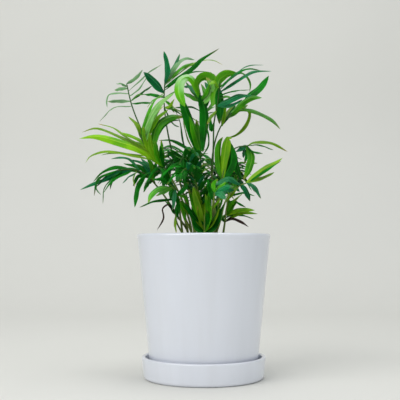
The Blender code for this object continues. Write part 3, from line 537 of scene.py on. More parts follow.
def pair_at(frond, leafy, along):
    """(width, route) of the two leaflets of a pair that far along the leafy part. Pairs
    stand wide at first and point forwards near the end, and are longest near the middle."""
    index = round(along * (len(leafy) - 1))
    tangent = tangent_at(leafy, index)
    sideways = tangent.cross(UP).normalized()
    made = []
    for side in (-1, 1):
        sway = math.sin(frond.azimuth + 9.7 * along + 2.1 * side)
        spread = math.radians(64 - 36 * along + 6 * sway)
        length = frond.length * (1 - 0.9 * (along - 0.45) ** 2) * (1 + 0.1 * sway)
        way = tangent * math.cos(spread) + sideways * side * math.sin(spread)
        root = leafy[max(index - (side > 0), 0)]
        middle = root + way * length * 0.5 + Vector((0, 0, length * 0.07))
        tip = root + way * length * 0.93 - Vector((0, 0, length * (0.2 + 0.1 * sway)))
        made.append((frond.width * (0.95 - 0.08 * sway), [root, middle, tip]))
    return made


def leaflets_of(frond, midrib, added):
    """(color or mix of colors, width, share of it that shows from the front, route) of each
    leaflet that the model has, or of each one that is added to them."""
    leafy = leafy_part(midrib, frond.bare)
    made = []
    if isinstance(frond, Seen):
        for color, width, depth, *places in frond.added if added else frond.leaflets:
            share = min(MOST_FACING, width / NARROWEST_BLADE)
            made.append((color, width / share, share, leaflet_route(leafy, depth, places)))
        return made
    steps = STEPS_PER_GAP * (frond.pairs - 1)
    for step in range(steps + 1):
        if added == (step % STEPS_PER_GAP > 0):
            for width, route in pair_at(frond, leafy, step / steps):
                made.append((frond.colors, width * (ADDED_WIDTH if added else 1), None, route))
    return made


# The model's plain shapes, used to find what would cross


def facing_normals(route, share):
    """At each point of a route, the direction that a blade's upper face looks in: up where
    share is None, or else turned so that this share of its width shows from the front."""
    normals = []
    for index in range(len(route)):
        tangent = tangent_at(route, index)
        aim = UP if share is None else Vector((0, -1, 0))
        normal = (aim - tangent * aim.dot(tangent)).normalized()
        if share is not None:
            sideways = tangent.cross(normal)
            earlier = normals[-1] if normals else UP
            turn = math.copysign(math.sqrt(1 - share**2), sideways.dot(earlier))
            normal = normal * share + sideways * turn
        normals.append(normal)
    return normals


def blade_shape(route, width, thickness, share):
    """Points and triangles of the model's blade: a low roof above and a low roof below."""
    if len(route) <= MOST_PLAIN_PLACES:
        outline = PLAIN_BLADE
    else:
        outline = CURVED_BLADE if len(route) <= MOST_CURVED_PLACES else HOOKED_BLADE
    stations = smooth_route(route, BLADE_STEPS)
    normals = facing_normals(stations, share)
    points = []
    for along, swell in outline:
        index = round(along * BLADE_STEPS)
        tangent = tangent_at(stations, index)
        up = normals[index] * (thickness / 2)
        half = tangent.cross(normals[index]) * (width / 2 * swell)
        fall = normals[index] * (width / 2 * swell * ROOF_SLOPE)
        centre = stations[index]
        points += [centre - half - fall, centre + up, centre + half - fall, centre - up]
    points.append(stations[-1])
    faces = [(0, 3, 1), (3, 2, 1)]
    last = 4 * (len(outline) - 1)
    for a in range(0, last, 4):
        b = a + 4
        faces += [(a, a + 1, b + 1), (a, b + 1, b),
                  (a + 1, a + 2, b + 1), (a + 2, b + 2, b + 1),
                  (a + 2, a + 3, b + 3), (a + 2, b + 3, b + 2),
                  (a + 3, a, b + 3), (a, b, b + 3)]
    faces += [(last + side, last + (side + 1) % 4, last + 4) for side in range(4)]
    return points, faces


def quads_between(lower, upper):
    """Faces that join two closed rings of point numbers."""
    count = len(lower)
    return [(lower[side], lower[(side + 1) % count], upper[(side + 1) % count], upper[side])
            for side in range(count)]


def tube_shape(route, radii, sides):
    """Points and faces of a round tube along a route, with a radius for each of its points."""
    points = []
    faces = []
    side_way = Vector((0.3, -1, 0.1))
    for index, (centre, radius) in enumerate(zip(route, radii)):
        tangent = tangent_at(route, index)
        side_way = (side_way - tangent * side_way.dot(tangent)).normalized()
        across = tangent.cross(side_way)
        for side in range(sides):
            angle = math.tau * side / sides
            spoke = side_way * math.cos(angle) + across * math.sin(angle)
            points.append(centre + spoke * radius)
        if index:
            ring = range(index * sides, (index + 1) * sides)
            faces += quads_between(range(ring.start - sides, ring.start), ring)
    faces.append(tuple(reversed(range(sides))))
    faces.append(tuple(range(len(points) - sides, len(points))))
    return points, faces


def even_radii(start, end, count):
    return [start + (end - start) * index / (count - 1) for index in range(count)]


def bent_clear(route, width, share, obstacles):
    """The leaflet's route, with its tip moved as little as keeps the blade clear, or None."""
    room = 2 * BLADE_CLEARANCE
    chord = (route[-1] - route[0]).normalized()
    across = chord.cross(UP).normalized()
    over = across.cross(chord)
    for bend in BENDS:
        for way in (across, -across, over, -over) if bend else (across,):
            moved = [point + way * (bend * (index / (len(route) - 1)) ** LEAFLET_CURVE)
                     for index, point in enumerate(route)]
            shape = blade_shape(moved, width + room, BLADE_THICKNESS + room, share)
            tree = BVHTree.FromPolygons(*shape)
            if not any(tree.overlap(obstacle) for obstacle in obstacles):
                return moved
    return None


def placed_fronds():
    """The midribs and the leaflets of each stem, bent clear of each other in the model's
    order. A leaflet that no bend clears is left out."""
    fronds = [(frond, midrib_of(frond)) for frond in SEEN + RULED]
    midribs, placed, obstacles = ({stem: [] for stem in FEET} for _ in range(3))
    for frond, midrib in fronds:
        midribs[frond.stem].append(midrib)
        radii = even_radii(PETIOLE_RADIUS, MIDRIB_END_RADIUS, len(midrib))
        shape = tube_shape(midrib, radii, TUBE_SIDES)
        obstacles[frond.stem].append(BVHTree.FromPolygons(*shape))
    for added in (False, True):
        for frond, midrib in fronds:
            others = [tree for stem in FEET if stem != frond.stem for tree in obstacles[stem]]
            for color, width, share, route in leaflets_of(frond, midrib, added):
                clear = bent_clear(route, width, share, others)
                if clear:
                    placed[frond.stem].append((color, width, share, clear))
                    shape = blade_shape(clear, width, BLADE_THICKNESS, share)
                    obstacles[frond.stem].append(BVHTree.FromPolygons(*shape))
    return midribs, placed


# Materials


class Finish:
    """A material and the nodes that feed its shader."""

    def __init__(self, name):
        self.material = bpy.data.materials.new(name)
        self.material.use_nodes = True
        self.tree = self.material.node_tree

    def feed(self, socket, fed):
        """Sets a socket to a value or links it to an output."""
        if isinstance(fed, bpy.types.NodeSocket):
            self.tree.links.new(fed, socket)
        else:
            socket.default_value = fed

    def node(self, kind, fed=None, **settings):
        """The outputs of a new node, whose sockets are fed by their names or numbers."""
        made = self.tree.nodes.new("ShaderNode" + kind)
        for setting, value in settings.items():
            setattr(made, setting, value)
        for socket, value in (fed or {}).items():
            self.feed(made.inputs[socket], value)
        return made.outputs

    def shaded(self, fed):
        """The material, once the sockets of its shader are fed."""
        for socket, value in fed.items():
            self.feed(self.tree.nodes["Principled BSDF"].inputs[socket], value)
        return self.material

    def math(self, operation, *fed):
        return self.node("Math", dict(enumerate(fed)), operation=operation)[0]

    def mix(self, factor, *colors):
        """Two colors blended; each is (r, g, b) or an output. Sockets 6 and 7 take colors."""
        first, second = ((*fed, 1.0) if isinstance(fed, tuple) else fed for fed in colors)
        return self.node("Mix", {0: factor, 6: first, 7: second}, data_type="RGBA")[2]

    def stained(self, color, stain, factor, most):
        """The color, with this much of the stain where the factor is 1."""
        return self.mix(self.math("MULTIPLY", factor, most), color, stain)

    def pattern(self, scale, detail, stretch=(1, 1, 1)):
        """Noise in the object's own metres."""
        place = self.node("Mapping", {"Vector": self.node("TexCoord")["Object"],
                                      "Scale": stretch})["Vector"]
        return self.node("TexNoise", {"Vector": place, "Scale": scale, "Detail": detail})["Fac"]

    def spread(self, value, low, high):
        """The value stretched so that low becomes 0 and high becomes 1."""
        return self.node("MapRange", {"Value": value, "From Min": low, "From Max": high},
                         interpolation_type="SMOOTHSTEP")["Result"]

    def patches(self, low, high, *pattern):
        return self.spread(self.pattern(*pattern), low, high)

    def attribute(self, name):
        return self.node("Attribute", attribute_name=name)["Fac"]

    def toned(self, color):
        """The color, made lighter or darker by the tone of each leaflet or stem."""
        return self.node("HueSaturation", {"Value": self.attribute("tone"),
                                           "Color": color})["Color"]

    def bump(self, height, strength, distance):
        return self.node("Bump", {"Height": height, "Strength": strength,
                                  "Distance": distance})["Normal"]


LEAF_COLORS = {
    # light, dark, rib, dried tip, underside, roughness, gloss, painted sheen: how much pale
    # green is painted where the blade faces the sky, standing in for its reflection
    "fresh": ((0.2, 0.48, 0.004), (0.075, 0.3, 0.003), (0.4, 0.6, 0.04), (0.42, 0.3, 0.06),
              (0.24, 0.46, 0.03), 0.42, 0.12, 0.0),
    "bright": ((0.085, 0.37, 0.002), (0.035, 0.24, 0.002), (0.2, 0.5, 0.02), (0.3, 0.34, 0.04),
               (0.14, 0.38, 0.03), 0.42, 0.12, 0.7),
    # pale: a lit copy of the greens, painted on leaflets where a sheen of light lies on the upper
    # face
    "pale": ((0.22, 0.5, 0.12), (0.1, 0.36, 0.04), (0.42, 0.64, 0.3), (0.42, 0.3, 0.06),
             (0.24, 0.46, 0.14), 0.42, 0.14, 0.15),
    "green": ((0.05, 0.33, 0.003), (0.013, 0.165, 0.002), (0.16, 0.45, 0.02), (0.34, 0.26, 0.05),
              (0.09, 0.28, 0.02), 0.38, 0.1, 0.12),
    "olive": ((0.16, 0.35, 0.005), (0.065, 0.19, 0.003), (0.3, 0.44, 0.03), (0.4, 0.22, 0.06),
              (0.18, 0.34, 0.03), 0.42, 0.1, 0.05),
    # deep: a dark green, partly the leaves' own darker green and partly painted shade for
    # leaflets in shadow inside the clump
    "deep": ((0.004, 0.165, 0.006), (0.001, 0.062, 0.002), (0.02, 0.26, 0.015), (0.14, 0.1, 0.03),
             (0.014, 0.14, 0.014), 0.36, 0.06, 0.0),
    "blue": ((0.002, 0.19, 0.055), (0.001, 0.085, 0.026), (0.03, 0.28, 0.1), (0.14, 0.12, 0.06),
             (0.015, 0.2, 0.07), 0.34, 0.1, 0.05),
    "grey": ((0.1, 0.26, 0.09), (0.045, 0.14, 0.05), (0.2, 0.35, 0.17), (0.3, 0.26, 0.16),
             (0.17, 0.3, 0.15), 0.42, 0.24, 0.15),
    "dead": ((0.035, 0.02, 0.016), (0.015, 0.008, 0.008), (0.06, 0.035, 0.025),
             (0.05, 0.03, 0.02), (0.045, 0.03, 0.022), 0.7, 0.08, 0.0),
}
COLOR_MIXES = {
    # dark: mostly the deep green, partly painted shade for fronds at the back and inside the
    # clump
    "dark": ("deep", "deep", "deep", "blue", "deep"),
    "mixed": ("green", "deep", "deep", "olive", "deep"),
}
# Pale green painted where a blade faces up, standing in for the sky's reflection on it
SKY_SHEEN_COLOR = (0.36, 0.56, 0.3)
VEIN_TURN = 88.0  # radians of the vein wave across a blade


def leaf_material(name, light, dark, rib, tip, under, roughness, gloss, painted_sheen):
    """A leaflet: veins along it, a paler midrib and underside, a painted sheen that makes it
    paler where it faces the sky, and a tip that dries out."""
    finish = Finish(name)
    spot = finish.node("UVMap", uv_map="across_along")["UV"]
    spot = finish.node("SeparateXYZ", {"Vector": spot})
    across, along = spot["X"], spot["Y"]
    color = finish.mix(finish.patches(0.32, 0.68, 55, 4), dark, light)
    veins = finish.math("SINE", finish.math("MULTIPLY", across, VEIN_TURN))
    color = finish.mix(finish.math("MULTIPLY_ADD", veins, 0.09, 0.09), color, rib)
    off_middle = finish.math("ABSOLUTE", finish.math("SUBTRACT", across, 0.5))
    midrib = finish.math("SUBTRACT", 1.0, finish.spread(off_middle, 0.015, 0.07))
    color = finish.stained(color, rib, midrib, 0.55)
    color = finish.stained(color, under, finish.attribute("underside"), 0.65)
    facing = finish.node("SeparateXYZ", {"Vector": finish.node("NewGeometry")["Normal"]})
    # Painted sheen: the blade is made paler where its face turns up towards the sky
    color = finish.stained(color, SKY_SHEEN_COLOR, finish.spread(facing["Z"], 0.15, 0.7), painted_sheen)
    ragged = finish.math("MULTIPLY_ADD", finish.pattern(160, 2), 0.16, -0.08)
    drying = finish.spread(finish.math("ADD", along, ragged), 0.78, 0.99)
    drying = finish.math("MULTIPLY", drying, finish.attribute("dryness"))
    height = finish.math("ADD", finish.math("MULTIPLY", veins, 0.5), finish.pattern(420, 2))
    return finish.shaded({
        "Base Color": finish.toned(finish.mix(drying, color, tip)),
        "Roughness": roughness,
        "Specular IOR Level": gloss,
        "Subsurface Weight": 0.22,
        "Subsurface Radius": (0.6, 1.0, 0.25),
        "Subsurface Scale": 0.0012,
        "Normal": finish.bump(height, 0.35, 0.00022),
    })


def stalk_material(name, young, old, roughness):
    """A petiole or stem: fine lengthwise streaks, paler and browner towards its foot."""
    finish = Finish(name)
    streaks = finish.patches(0.35, 0.7, 320, 3, (1, 1, 0.12))
    shadow = tuple(part * 0.55 for part in young)
    color = finish.mix(finish.math("MULTIPLY", streaks, 0.45), young, shadow)
    color = finish.mix(finish.attribute("age"), color, old)
    return finish.shaded({
        "Base Color": finish.toned(color),
        "Roughness": roughness,
        "Specular IOR Level": 0.15,
        "Normal": finish.bump(streaks, 0.3, 0.0002),
    })


def glaze_material():
    """White glaze, faintly uneven, with soft upright bands, pinholes and a soft gloss."""
    finish = Finish("white_glaze")
    clouds = finish.patches(0.3, 0.7, 9, 3, (1, 1, 0.35))
    color = finish.mix(clouds, (0.67, 0.705, 0.775), (0.735, 0.765, 0.83))
    bands = finish.patches(0.4, 0.75, 55, 3, (1, 1, 0.05))
    color = finish.stained(color, (0.67, 0.695, 0.745), bands, 0.4)
    color = finish.stained(color, (0.5, 0.49, 0.47), finish.patches(0.74, 0.8, 900, 1), 0.25)
    return finish.shaded({
        "Base Color": color,
        "Roughness": finish.math("MULTIPLY_ADD", finish.pattern(30, 3), 0.14, 0.24),
        "Coat Weight": 0.7,
        "Coat Roughness": 0.08,
        "Normal": finish.bump(finish.pattern(60, 2, (1, 1, 0.25)), 0.25, 0.0006),
    })


def soil_material(name, dark, light, roughness=0.95):
    finish = Finish(name)
    return finish.shaded({
        "Base Color": finish.mix(finish.patches(0.35, 0.66, 420, 5), dark, light),
        "Roughness": roughness,
        "Normal": finish.bump(finish.pattern(900, 4), 0.7, 0.0008),
    })


# Leaflets, petioles and stems


def outline_at(along, hooked):
    """How wide a fine blade is at that share of its length."""
    outline = FINE_HOOKED if hooked else FINE_OUTLINE
    for (start, low), (end, high) in zip(outline, outline[1:]):
        if along <= end:
            return low + (high - low) * ((along - start) / (end - start))
    return 0.0


class Foliage:
    """The points, faces and values of one stem with its leaflets, gathered for one mesh."""

    def __init__(self):
        self.points = []
        self.values = []  # (across, along, underside, tone, dryness, age) of each point
        self.faces = []
        self.slots = []

    def add(self, points, values, faces, slot):
        first = len(self.points)
        self.points += points
        self.values += values
        self.faces += [tuple(first + corner for corner in face) for face in faces]
        self.slots += [slot] * len(faces)

    def add_tube(self, route, radii, sides, slot, tone, ages):
        points, faces = tube_shape(route, radii, sides)
        values = [(0.5, 0.5, 0.0, tone, 0.0, age) for age in ages for _ in range(sides)]
        self.add(points, values, faces, slot)

    def add_blade(self, route, width, share, slot, tone, dryness, phase):
        """One thin leaflet with a keeled midrib, soft pleats and a slightly waved edge."""
        stations = smooth_route(route, 2 * FINE_STATIONS)
        normals = facing_normals(stations, share)
        across = [2 * strip / FINE_ACROSS - 1 for strip in range(FINE_ACROSS + 1)]
        ring = len(across) * 2 - 2
        points, values, faces = [], [], []
        for station in range(FINE_STATIONS):
            index = 2 * station
            along = station / FINE_STATIONS
            tangent = tangent_at(stations, index)
            roll = ROLL * math.sin(2.4 * along + phase)
            side = tangent.cross(normals[index])
            normal = normals[index] * math.cos(roll) + side * math.sin(roll)
            side = tangent.cross(normal)
            half = width / 2 * outline_at(along, len(route) > MOST_CURVED_PLACES)
            top, low = [], []
            for place in across:
                depth = half * ROOF_SLOPE * abs(place) ** 1.2
                pleat = PLEAT * half * math.cos(math.tau * 1.5 * abs(place))
                wave = EDGE_WAVE * abs(place) ** 3 * math.sin(14 * along + phase + 1.7 * place)
                wave *= min(half / 3, 1)
                height = pleat + wave - depth - PLEAT * half
                middle = stations[index] + side * half * place + normal * height
                thick = FINE_THICKNESS * (1 - 0.5 * abs(place)) / 2
                keel = KEEL * (1 - along) if place == 0 else 0
                top.append(middle + normal * thick)
                low.append(middle - normal * (thick + keel))
            top[0] = (top[0] + low[0]) / 2
            top[-1] = (top[-1] + low[-1]) / 2
            points += top + low[-2:0:-1]
            for underside, strips in ((0.0, across), (1.0, across[-2:0:-1])):
                values += [((place + 1) / 2, along, underside, tone, dryness, 0.0)
                           for place in strips]
            if station:
                upper = range(station * ring, (station + 1) * ring)
                faces += quads_between(range(upper.start - ring, upper.start), upper)
        tip = len(points)
        points.append(stations[-1])
        values.append((0.5, 1.0, 0.5, tone, dryness, 0.0))
        last = tip - ring
        faces += [(last + side, last + (side + 1) % ring, tip) for side in range(ring)]
        faces.append(tuple(reversed(range(ring))))
        self.add(points, values, faces, slot)

    def add_stem(self, foot, slot, tone):
        """A ringed stem, browner near the soil, from its hole to where the fronds begin."""
        levels = [SOIL_Z - HOLE_DEPTH + GAP]
        while levels[-1] < STEM_TOP + 3:
            levels.append(levels[-1] + STEM_LEVEL)
        radii = []
        for z in levels:
            share = (z - levels[0]) / (levels[-1] - levels[0])
            ring = STEM_SKIN * max(0.0, math.cos(math.tau * z / RING_SPACING)) ** 6
            radii.append(STEM_RADIUS + (STEM_NECK - STEM_RADIUS) * share - STEM_SKIN + ring)
        ages = [min(1.0, max(0.0, 1.3 - (z - SOIL_Z) / 14)) for z in levels]
        self.add_tube([Vector((*foot, z)) for z in levels], radii, STEM_SIDES, slot, tone, ages)

    def add_sheaths(self, foot, slot, chance):
        """Papery old leaf bases, split open and pointed, that wrap the stem above the soil."""
        sides, rows = SHEATH_SIDES, SHEATH_ROWS
        count = sides * rows
        for turn in range(2):
            start = chance.uniform(0, math.tau)
            base = SOIL_Z + 2 + SHEATH_SPACING * turn
            height = chance.uniform(9, 13)
            outer, inner, faces = [], [], []
            for row in range(rows):
                share = row / (rows - 1)
                for side in range(sides):
                    wrap = math.radians(SHEATH_WRAP - SHEATH_NARROWING * share)
                    sweep = (side / (sides - 1) - 0.5) * wrap
                    radius = STEM_RADIUS * (1.02 - 0.12 * turn) + 0.9 * share**2
                    peak = height * share * (1 - 0.25 * abs(2 * side / (sides - 1) - 1))
                    spoke = Vector((math.cos(start + sweep), math.sin(start + sweep), 0))
                    centre = Vector((*foot, base + peak))
                    outer.append(centre + spoke * (radius + STEM_SKIN))
                    inner.append(centre + spoke * (radius - STEM_SKIN))
            for row in range(rows - 1):
                for side in range(sides - 1):
                    a = row * sides + side
                    quad = (a, a + 1, a + sides + 1, a + sides)
                    faces += [quad, tuple(count + quad[corner] for corner in (0, 3, 2, 1))]
            border = [row * sides for row in range(rows - 1, 0, -1)] + list(range(sides - 1))
            border += [row * sides + sides - 1 for row in range(rows - 1)]
            border += [(rows - 1) * sides + side for side in range(sides - 1, 0, -1)]
            for first, second in zip(border, border[1:] + border[:1]):
                faces.append((second, first, count + first, count + second))
            values = [(0.5, 0.5, 0.0, 1.0, 0.0, 1 - index / count) for index in range(count)]
            self.add(outer + inner, values * 2, faces, slot)

    def build(self, name, materials):
        """The stem's object, with its values as attributes and a UV layer for the shaders."""
        made = mesh_object(name, self.points, self.faces, materials)
        mesh = made.data
        mesh.polygons.foreach_set("material_index", self.slots)
        for place, title in enumerate(("underside", "tone", "dryness", "age"), 2):
            values = mesh.attributes.new(title, "FLOAT", "POINT")
            values.data.foreach_set("value", [point[place] for point in self.values])
        layer = mesh.uv_layers.new(name="across_along")
        layer.data.foreach_set("uv", [part for loop in mesh.loops
                                      for part in self.values[loop.vertex_index][:2]])
        return made


def make_palms():
    materials = [leaf_material("leaflet_" + name, *parts) for name, parts in LEAF_COLORS.items()]
    color_slots = {name: slot for slot, name in enumerate(LEAF_COLORS)}
    petiole_slot, stem_slot, sheath_slot = range(len(materials), len(materials) + 3)
    materials += [
        stalk_material("petiole", (0.035, 0.115, 0.02), (0.26, 0.38, 0.07), 0.38),
        stalk_material("stem", (0.13, 0.26, 0.05), (0.17, 0.12, 0.055), 0.6),
        stalk_material("sheath", (0.32, 0.28, 0.14), (0.2, 0.12, 0.06), 0.8),
    ]
    midribs, placed = placed_fronds()
    chance = random.Random(5)
    for name, foot in FEET.items():
        foliage = Foliage()
        foliage.add_stem(foot, stem_slot, chance.uniform(0.8, 1.15))
        foliage.add_sheaths(foot, sheath_slot, chance)
        for midrib in midribs[name]:
            route = smooth_route(midrib, 3 * MIDRIB_STEPS)
            radii = even_radii(PETIOLE_RADIUS * 1.2, MIDRIB_END_RADIUS, len(route))
            ages = [min(0.8, max(0.0, (240 - point.z) / 60)) for point in route]
            foliage.add_tube(route, radii, FINE_TUBE_SIDES, petiole_slot,
                             chance.uniform(0.65, 1.15), ages)
        for color, width, share, route in placed[name]:
            if color in COLOR_MIXES:
                color = chance.choice(COLOR_MIXES[color])
            dryness = chance.choice((0.0, 0.15, 0.35, 0.7)) * (0.3 if color == "fresh" else 1)
            foliage.add_blade(route, width, share, color_slots[color],
                              chance.uniform(0.8, 1.32), dryness, chance.uniform(0, math.tau))
        made = foliage.build(name + "_foliage", materials)
        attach(made, "root")
        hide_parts(name)


# Pot, saucer and soil


def arc_at(before, corner, after, radius, steps):
    """A profile's corner as an arc of the given radius."""
    corner = Vector(corner)
    to_before = (Vector(before) - corner).normalized()
    to_after = (Vector(after) - corner).normalized()
    half = to_before.angle(to_after) / 2
    centre = corner + (to_before + to_after).normalized() * (radius / math.sin(half))
    start, end = (corner + way * (radius / math.tan(half)) - centre
                  for way in (to_before, to_after))
    return [centre + start.lerp(end, step / steps).normalized() * radius
            for step in range(steps + 1)]


def turned(name, corners, finish):
    """A turned solid from corners given as (radius, z, rounding, steps of the arc). Its
    profile closes on itself, or starts and ends on the axis."""
    profile = []
    for index, (radius, z, rounding, steps) in enumerate(corners):
        if rounding:
            before = corners[index - 1][:2]
            after = corners[(index + 1) % len(corners)][:2]
            profile += arc_at(before, (radius, z), after, rounding, steps)
        elif radius:
            profile.append(Vector((radius, z)))
    rings, points = [], []
    for corner in profile:
        rings.append(range(len(points), len(points) + ROUND_SIDES))
        for side in range(ROUND_SIDES):
            angle = math.tau * side / ROUND_SIDES
            points.append((corner.x * math.cos(angle), corner.x * math.sin(angle), corner.y))
    on_axis = corners[0][0] == 0
    faces = []
    for lower, upper in zip(rings, rings[1:] if on_axis else rings[1:] + rings[:1]):
        faces += quads_between(lower, upper)
    if on_axis:
        faces += [tuple(reversed(rings[0])), tuple(rings[-1])]
    return mesh_object(name, points, faces, [finish])


def pot_radius(z):
    return POT_RIM_RADIUS - (POT_RIM_Z - z) * POT_TAPER


def make_vessels():
    glaze = glaze_material()
    inner_rim = pot_radius(SAUCER_HEIGHT) + SAUCER_CLEARANCE
    inner_floor = pot_radius(SAUCER_FLOOR) + SAUCER_CLEARANCE
    saucer = turned("saucer_glazed", [
        (0, 0, 0, 0),
        (SAUCER_BASE_RADIUS, 0, SAUCER_EDGE, 8),
        (SAUCER_RIM_RADIUS, SAUCER_HEIGHT, SAUCER_LIP, 6),
        (inner_rim, SAUCER_HEIGHT, SAUCER_LIP, 6),
        (inner_floor, SAUCER_FLOOR, SAUCER_FILLET, 4),
        (0, SAUCER_FLOOR, 0, 0),
    ], glaze)
    base = SAUCER_FLOOR + GAP
    floor = base + POT_FLOOR
    neck = POT_RIM_Z - POT_FLARE_HEIGHT
    pot = turned("pot_glazed", [
        (DRAIN_RADIUS, base, 0, 0),
        (pot_radius(base), base, POT_EDGE, 6),
        (pot_radius(neck), neck, 3 * POT_LIP, 3),
        (POT_RIM_RADIUS + POT_FLARE, POT_RIM_Z, POT_LIP, 8),
        (POT_RIM_RADIUS - POT_WALL, POT_RIM_Z, POT_LIP, 8),
        (pot_radius(floor) - POT_WALL, floor, SOIL_CHAMFER - 1, 4),
        (DRAIN_RADIUS, floor, 0, 0),
    ], glaze)
    for made, node in ((saucer, "saucer"), (pot, "pot")):
        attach(made, "root")
        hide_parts(node)


def soil_height(x, y, top_radius):
    """The rough surface of the potting mix: domed, lumpy, and heaped a little at the stems."""
    share = math.hypot(x, y) / top_radius
    spot = Vector((x, y, 0))
    lumps = 1.3 * noise.noise(spot * 0.09) + 0.7 * noise.noise(spot * 0.31 + Vector((7, 3, 1)))
    heaps = sum(HEAP * math.exp(-((x - foot[0]) ** 2 + (y - foot[1]) ** 2) / HEAP_SPREAD)
                for foot in FEET.values())
    return SOIL_Z + SOIL_DOME * (1 - share**2) + (lumps + heaps) * min(1, 5 * (1.02 - share))


def crumb_shape(centre, size, chance):
    """Points and faces of one loose crumb, a small irregular lump with two blunt ends."""
    stretch = Vector((1, chance.uniform(0.5, 0.9), chance.uniform(0.35, 0.7)))
    turn = chance.uniform(0, math.tau)
    sides = CRUMB_SIDES
    points = []
    for level, reach in ((-1, 0), (-0.5, 0.87), (0.5, 0.87), (1, 0)):
        for side in range(sides if reach else 1):
            angle = turn + math.tau * side / sides + 0.4 * level
            spoke = Vector((reach * math.cos(angle), reach * math.sin(angle), level))
            spoke *= size * chance.uniform(0.8, 1.15)
            points.append(centre + spoke * stretch)
    lower, upper = range(1, sides + 1), range(sides + 1, 2 * sides + 1)
    faces = quads_between(lower, upper)
    for side in range(sides):
        after = (side + 1) % sides
        faces += [(lower[after], lower[side], 0), (upper[side], upper[after], 2 * sides + 1)]
    return points, faces


def make_soil():
    """Potting mix with loose crumbs and bark chips on it."""
    chance = random.Random(23)
    floor = SAUCER_FLOOR + GAP + POT_FLOOR + GAP
    inset = POT_WALL + GAP
    top_radius = pot_radius(SOIL_Z) - inset
    rings = [(pot_radius(floor) - inset - SOIL_CHAMFER, floor),
             (pot_radius(floor + SOIL_CHAMFER) - inset, floor + SOIL_CHAMFER)]
    rings += [(top_radius * (1 - ring / SOIL_RINGS), None) for ring in range(SOIL_RINGS)]
    points, numbers = [], []
    for radius, z in rings:
        numbers.append(range(len(points), len(points) + SOIL_SIDES))
        for side in range(SOIL_SIDES):
            angle = math.tau * side / SOIL_SIDES
            x, y = radius * math.cos(angle), radius * math.sin(angle)
            points.append((x, y, soil_height(x, y, top_radius) if z is None else z))
    faces = [tuple(reversed(numbers[0]))]
    for lower, upper in zip(numbers, numbers[1:]):
        faces += quads_between(lower, upper)
    innermost, middle = numbers[-1], len(points)
    points.append((0, 0, soil_height(0, 0, top_radius)))
    faces += [(innermost[side - 1], innermost[side], middle) for side in range(SOIL_SIDES)]
    slots = [0] * len(faces)
    for crumb in range(CRUMBS):
        angle = chance.uniform(0, math.tau)
        radius = (top_radius - 3) * math.sqrt(chance.random())
        x, y = radius * math.cos(angle), radius * math.sin(angle)
        chip = crumb % CHIP_EVERY == 0
        size = chance.uniform(1.6, 2.6) if chip else chance.uniform(0.5, 1.5)
        height = soil_height(x, y, top_radius) + 0.25 * size
        more_points, more_faces = crumb_shape(Vector((x, y, height)), size, chance)
        faces += [tuple(len(points) + corner for corner in face) for face in more_faces]
        points += more_points
        slots += [1 if chip else 2 if crumb % 5 else 0] * len(more_faces)
    soil = mesh_object("potting_mix", points, faces, [
        soil_material("soil_dark", (0.012, 0.008, 0.006), (0.06, 0.038, 0.024)),
        soil_material("bark_chip", (0.07, 0.036, 0.02), (0.19, 0.11, 0.06), 0.85),
        soil_material("soil_crumb", (0.022, 0.014, 0.01), (0.1, 0.065, 0.04)),
    ])
    soil.data.polygons.foreach_set("material_index", slots)
    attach(soil, "root")
    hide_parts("soil")


# Stage, lights and camera, in metres

SHEET_COLOR = (0.69, 0.692, 0.655)
SHEET_REACH = 4.0
SHEET_BEND = 0.6  # radius of the turn from floor to wall
SHEET_BEND_STEPS = 12
SHEET_FLOOR_END = 0.8
SHEET_DROP = 0.05  # millimetres below the saucer
LIGHT_AIM = Vector((0, 0, 0.2))
LIGHTS = (  # name, place, size, power, color
    ("key_light", (-1.45, -1.45, 1.5), 2.3, 35, (1.0, 0.985, 0.97)),
    ("fill_light", (1.6, -0.9, 0.7), 1.8, 7, (0.97, 0.98, 1.0)),
    ("top_light", (0.1, 0.1, 1.9), 1.2, 13, (1.0, 1.0, 1.0)),
)
SKY_COLOR = (0.93, 0.96, 1.0, 1.0)
SKY_STRENGTH = 0.44
LENS = 70.1
SENSOR = 36.0
CAMERA_TURN = math.atan(3.7 / 779)


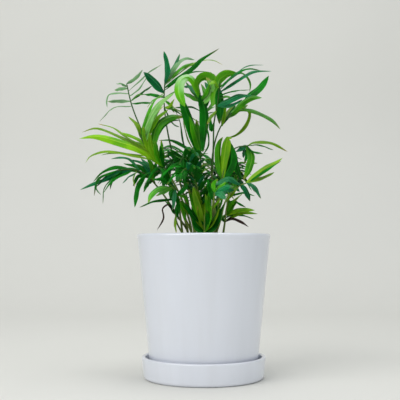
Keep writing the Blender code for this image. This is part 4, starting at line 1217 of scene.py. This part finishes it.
def make_stage():
    """One pale sheet: a floor that turns up into a wall behind the plant."""
    profile = [(-SHEET_REACH, 0.0), (SHEET_FLOOR_END, 0.0)]
    for step in range(1, SHEET_BEND_STEPS + 1):
        angle = math.pi / 2 * step / SHEET_BEND_STEPS
        profile.append((SHEET_FLOOR_END + SHEET_BEND * math.sin(angle),
                        SHEET_BEND - SHEET_BEND * math.cos(angle)))
    profile.append((SHEET_FLOOR_END + SHEET_BEND, SHEET_REACH))
    points, faces = [], []
    for index, (y, z) in enumerate(profile):
        points += [(x / MM, y / MM, z / MM - SHEET_DROP) for x in (-SHEET_REACH, SHEET_REACH)]
        if index:
            a = 2 * index - 2
            faces.append((a, a + 1, a + 3, a + 2))
    finish = Finish("pale_sheet")
    darker = tuple(part * 0.985 for part in SHEET_COLOR)
    pale_sheet = finish.shaded({
        "Base Color": finish.mix(finish.patches(0.3, 0.7, 3, 2), darker, SHEET_COLOR),
        "Roughness": 0.85,
    })
    sheet = mesh_object("studio_sheet", points, faces, [pale_sheet])
    sheet.data.set_sharp_from_angle(angle=math.radians(80))


def make_lights():
    for name, place, size, power, color in LIGHTS:
        light = bpy.data.lights.new(name, "AREA")
        light.shape = "DISK"
        light.size = size
        light.energy = power
        light.color = color
        holder = bpy.data.objects.new(name, light)
        holder.location = place
        way = LIGHT_AIM - Vector(place)
        holder.rotation_euler = way.to_track_quat("-Z", "Y").to_euler()
        bpy.context.scene.collection.objects.link(holder)
    world = bpy.data.worlds.new("soft_world")
    bpy.context.scene.world = world
    world.use_nodes = True
    backdrop = world.node_tree.nodes["Background"]
    backdrop.inputs["Color"].default_value = SKY_COLOR
    backdrop.inputs["Strength"].default_value = SKY_STRENGTH


def make_camera():
    data = bpy.data.cameras.new("camera")
    data.lens = LENS
    data.sensor_width = SENSOR
    holder = bpy.data.objects.new("camera", data)
    holder.location = (0.0, -EYE_DISTANCE * MM, EYE_HEIGHT * MM)
    holder.rotation_euler = (math.pi / 2 + math.atan(EYE_TILT), 0, CAMERA_TURN)
    bpy.context.scene.collection.objects.link(holder)
    bpy.context.scene.camera = holder


make_camera()
make_vessels()
make_soil()
make_palms()
make_stage()
make_lights()
bpy.context.scene.view_settings.view_transform = "Standard"
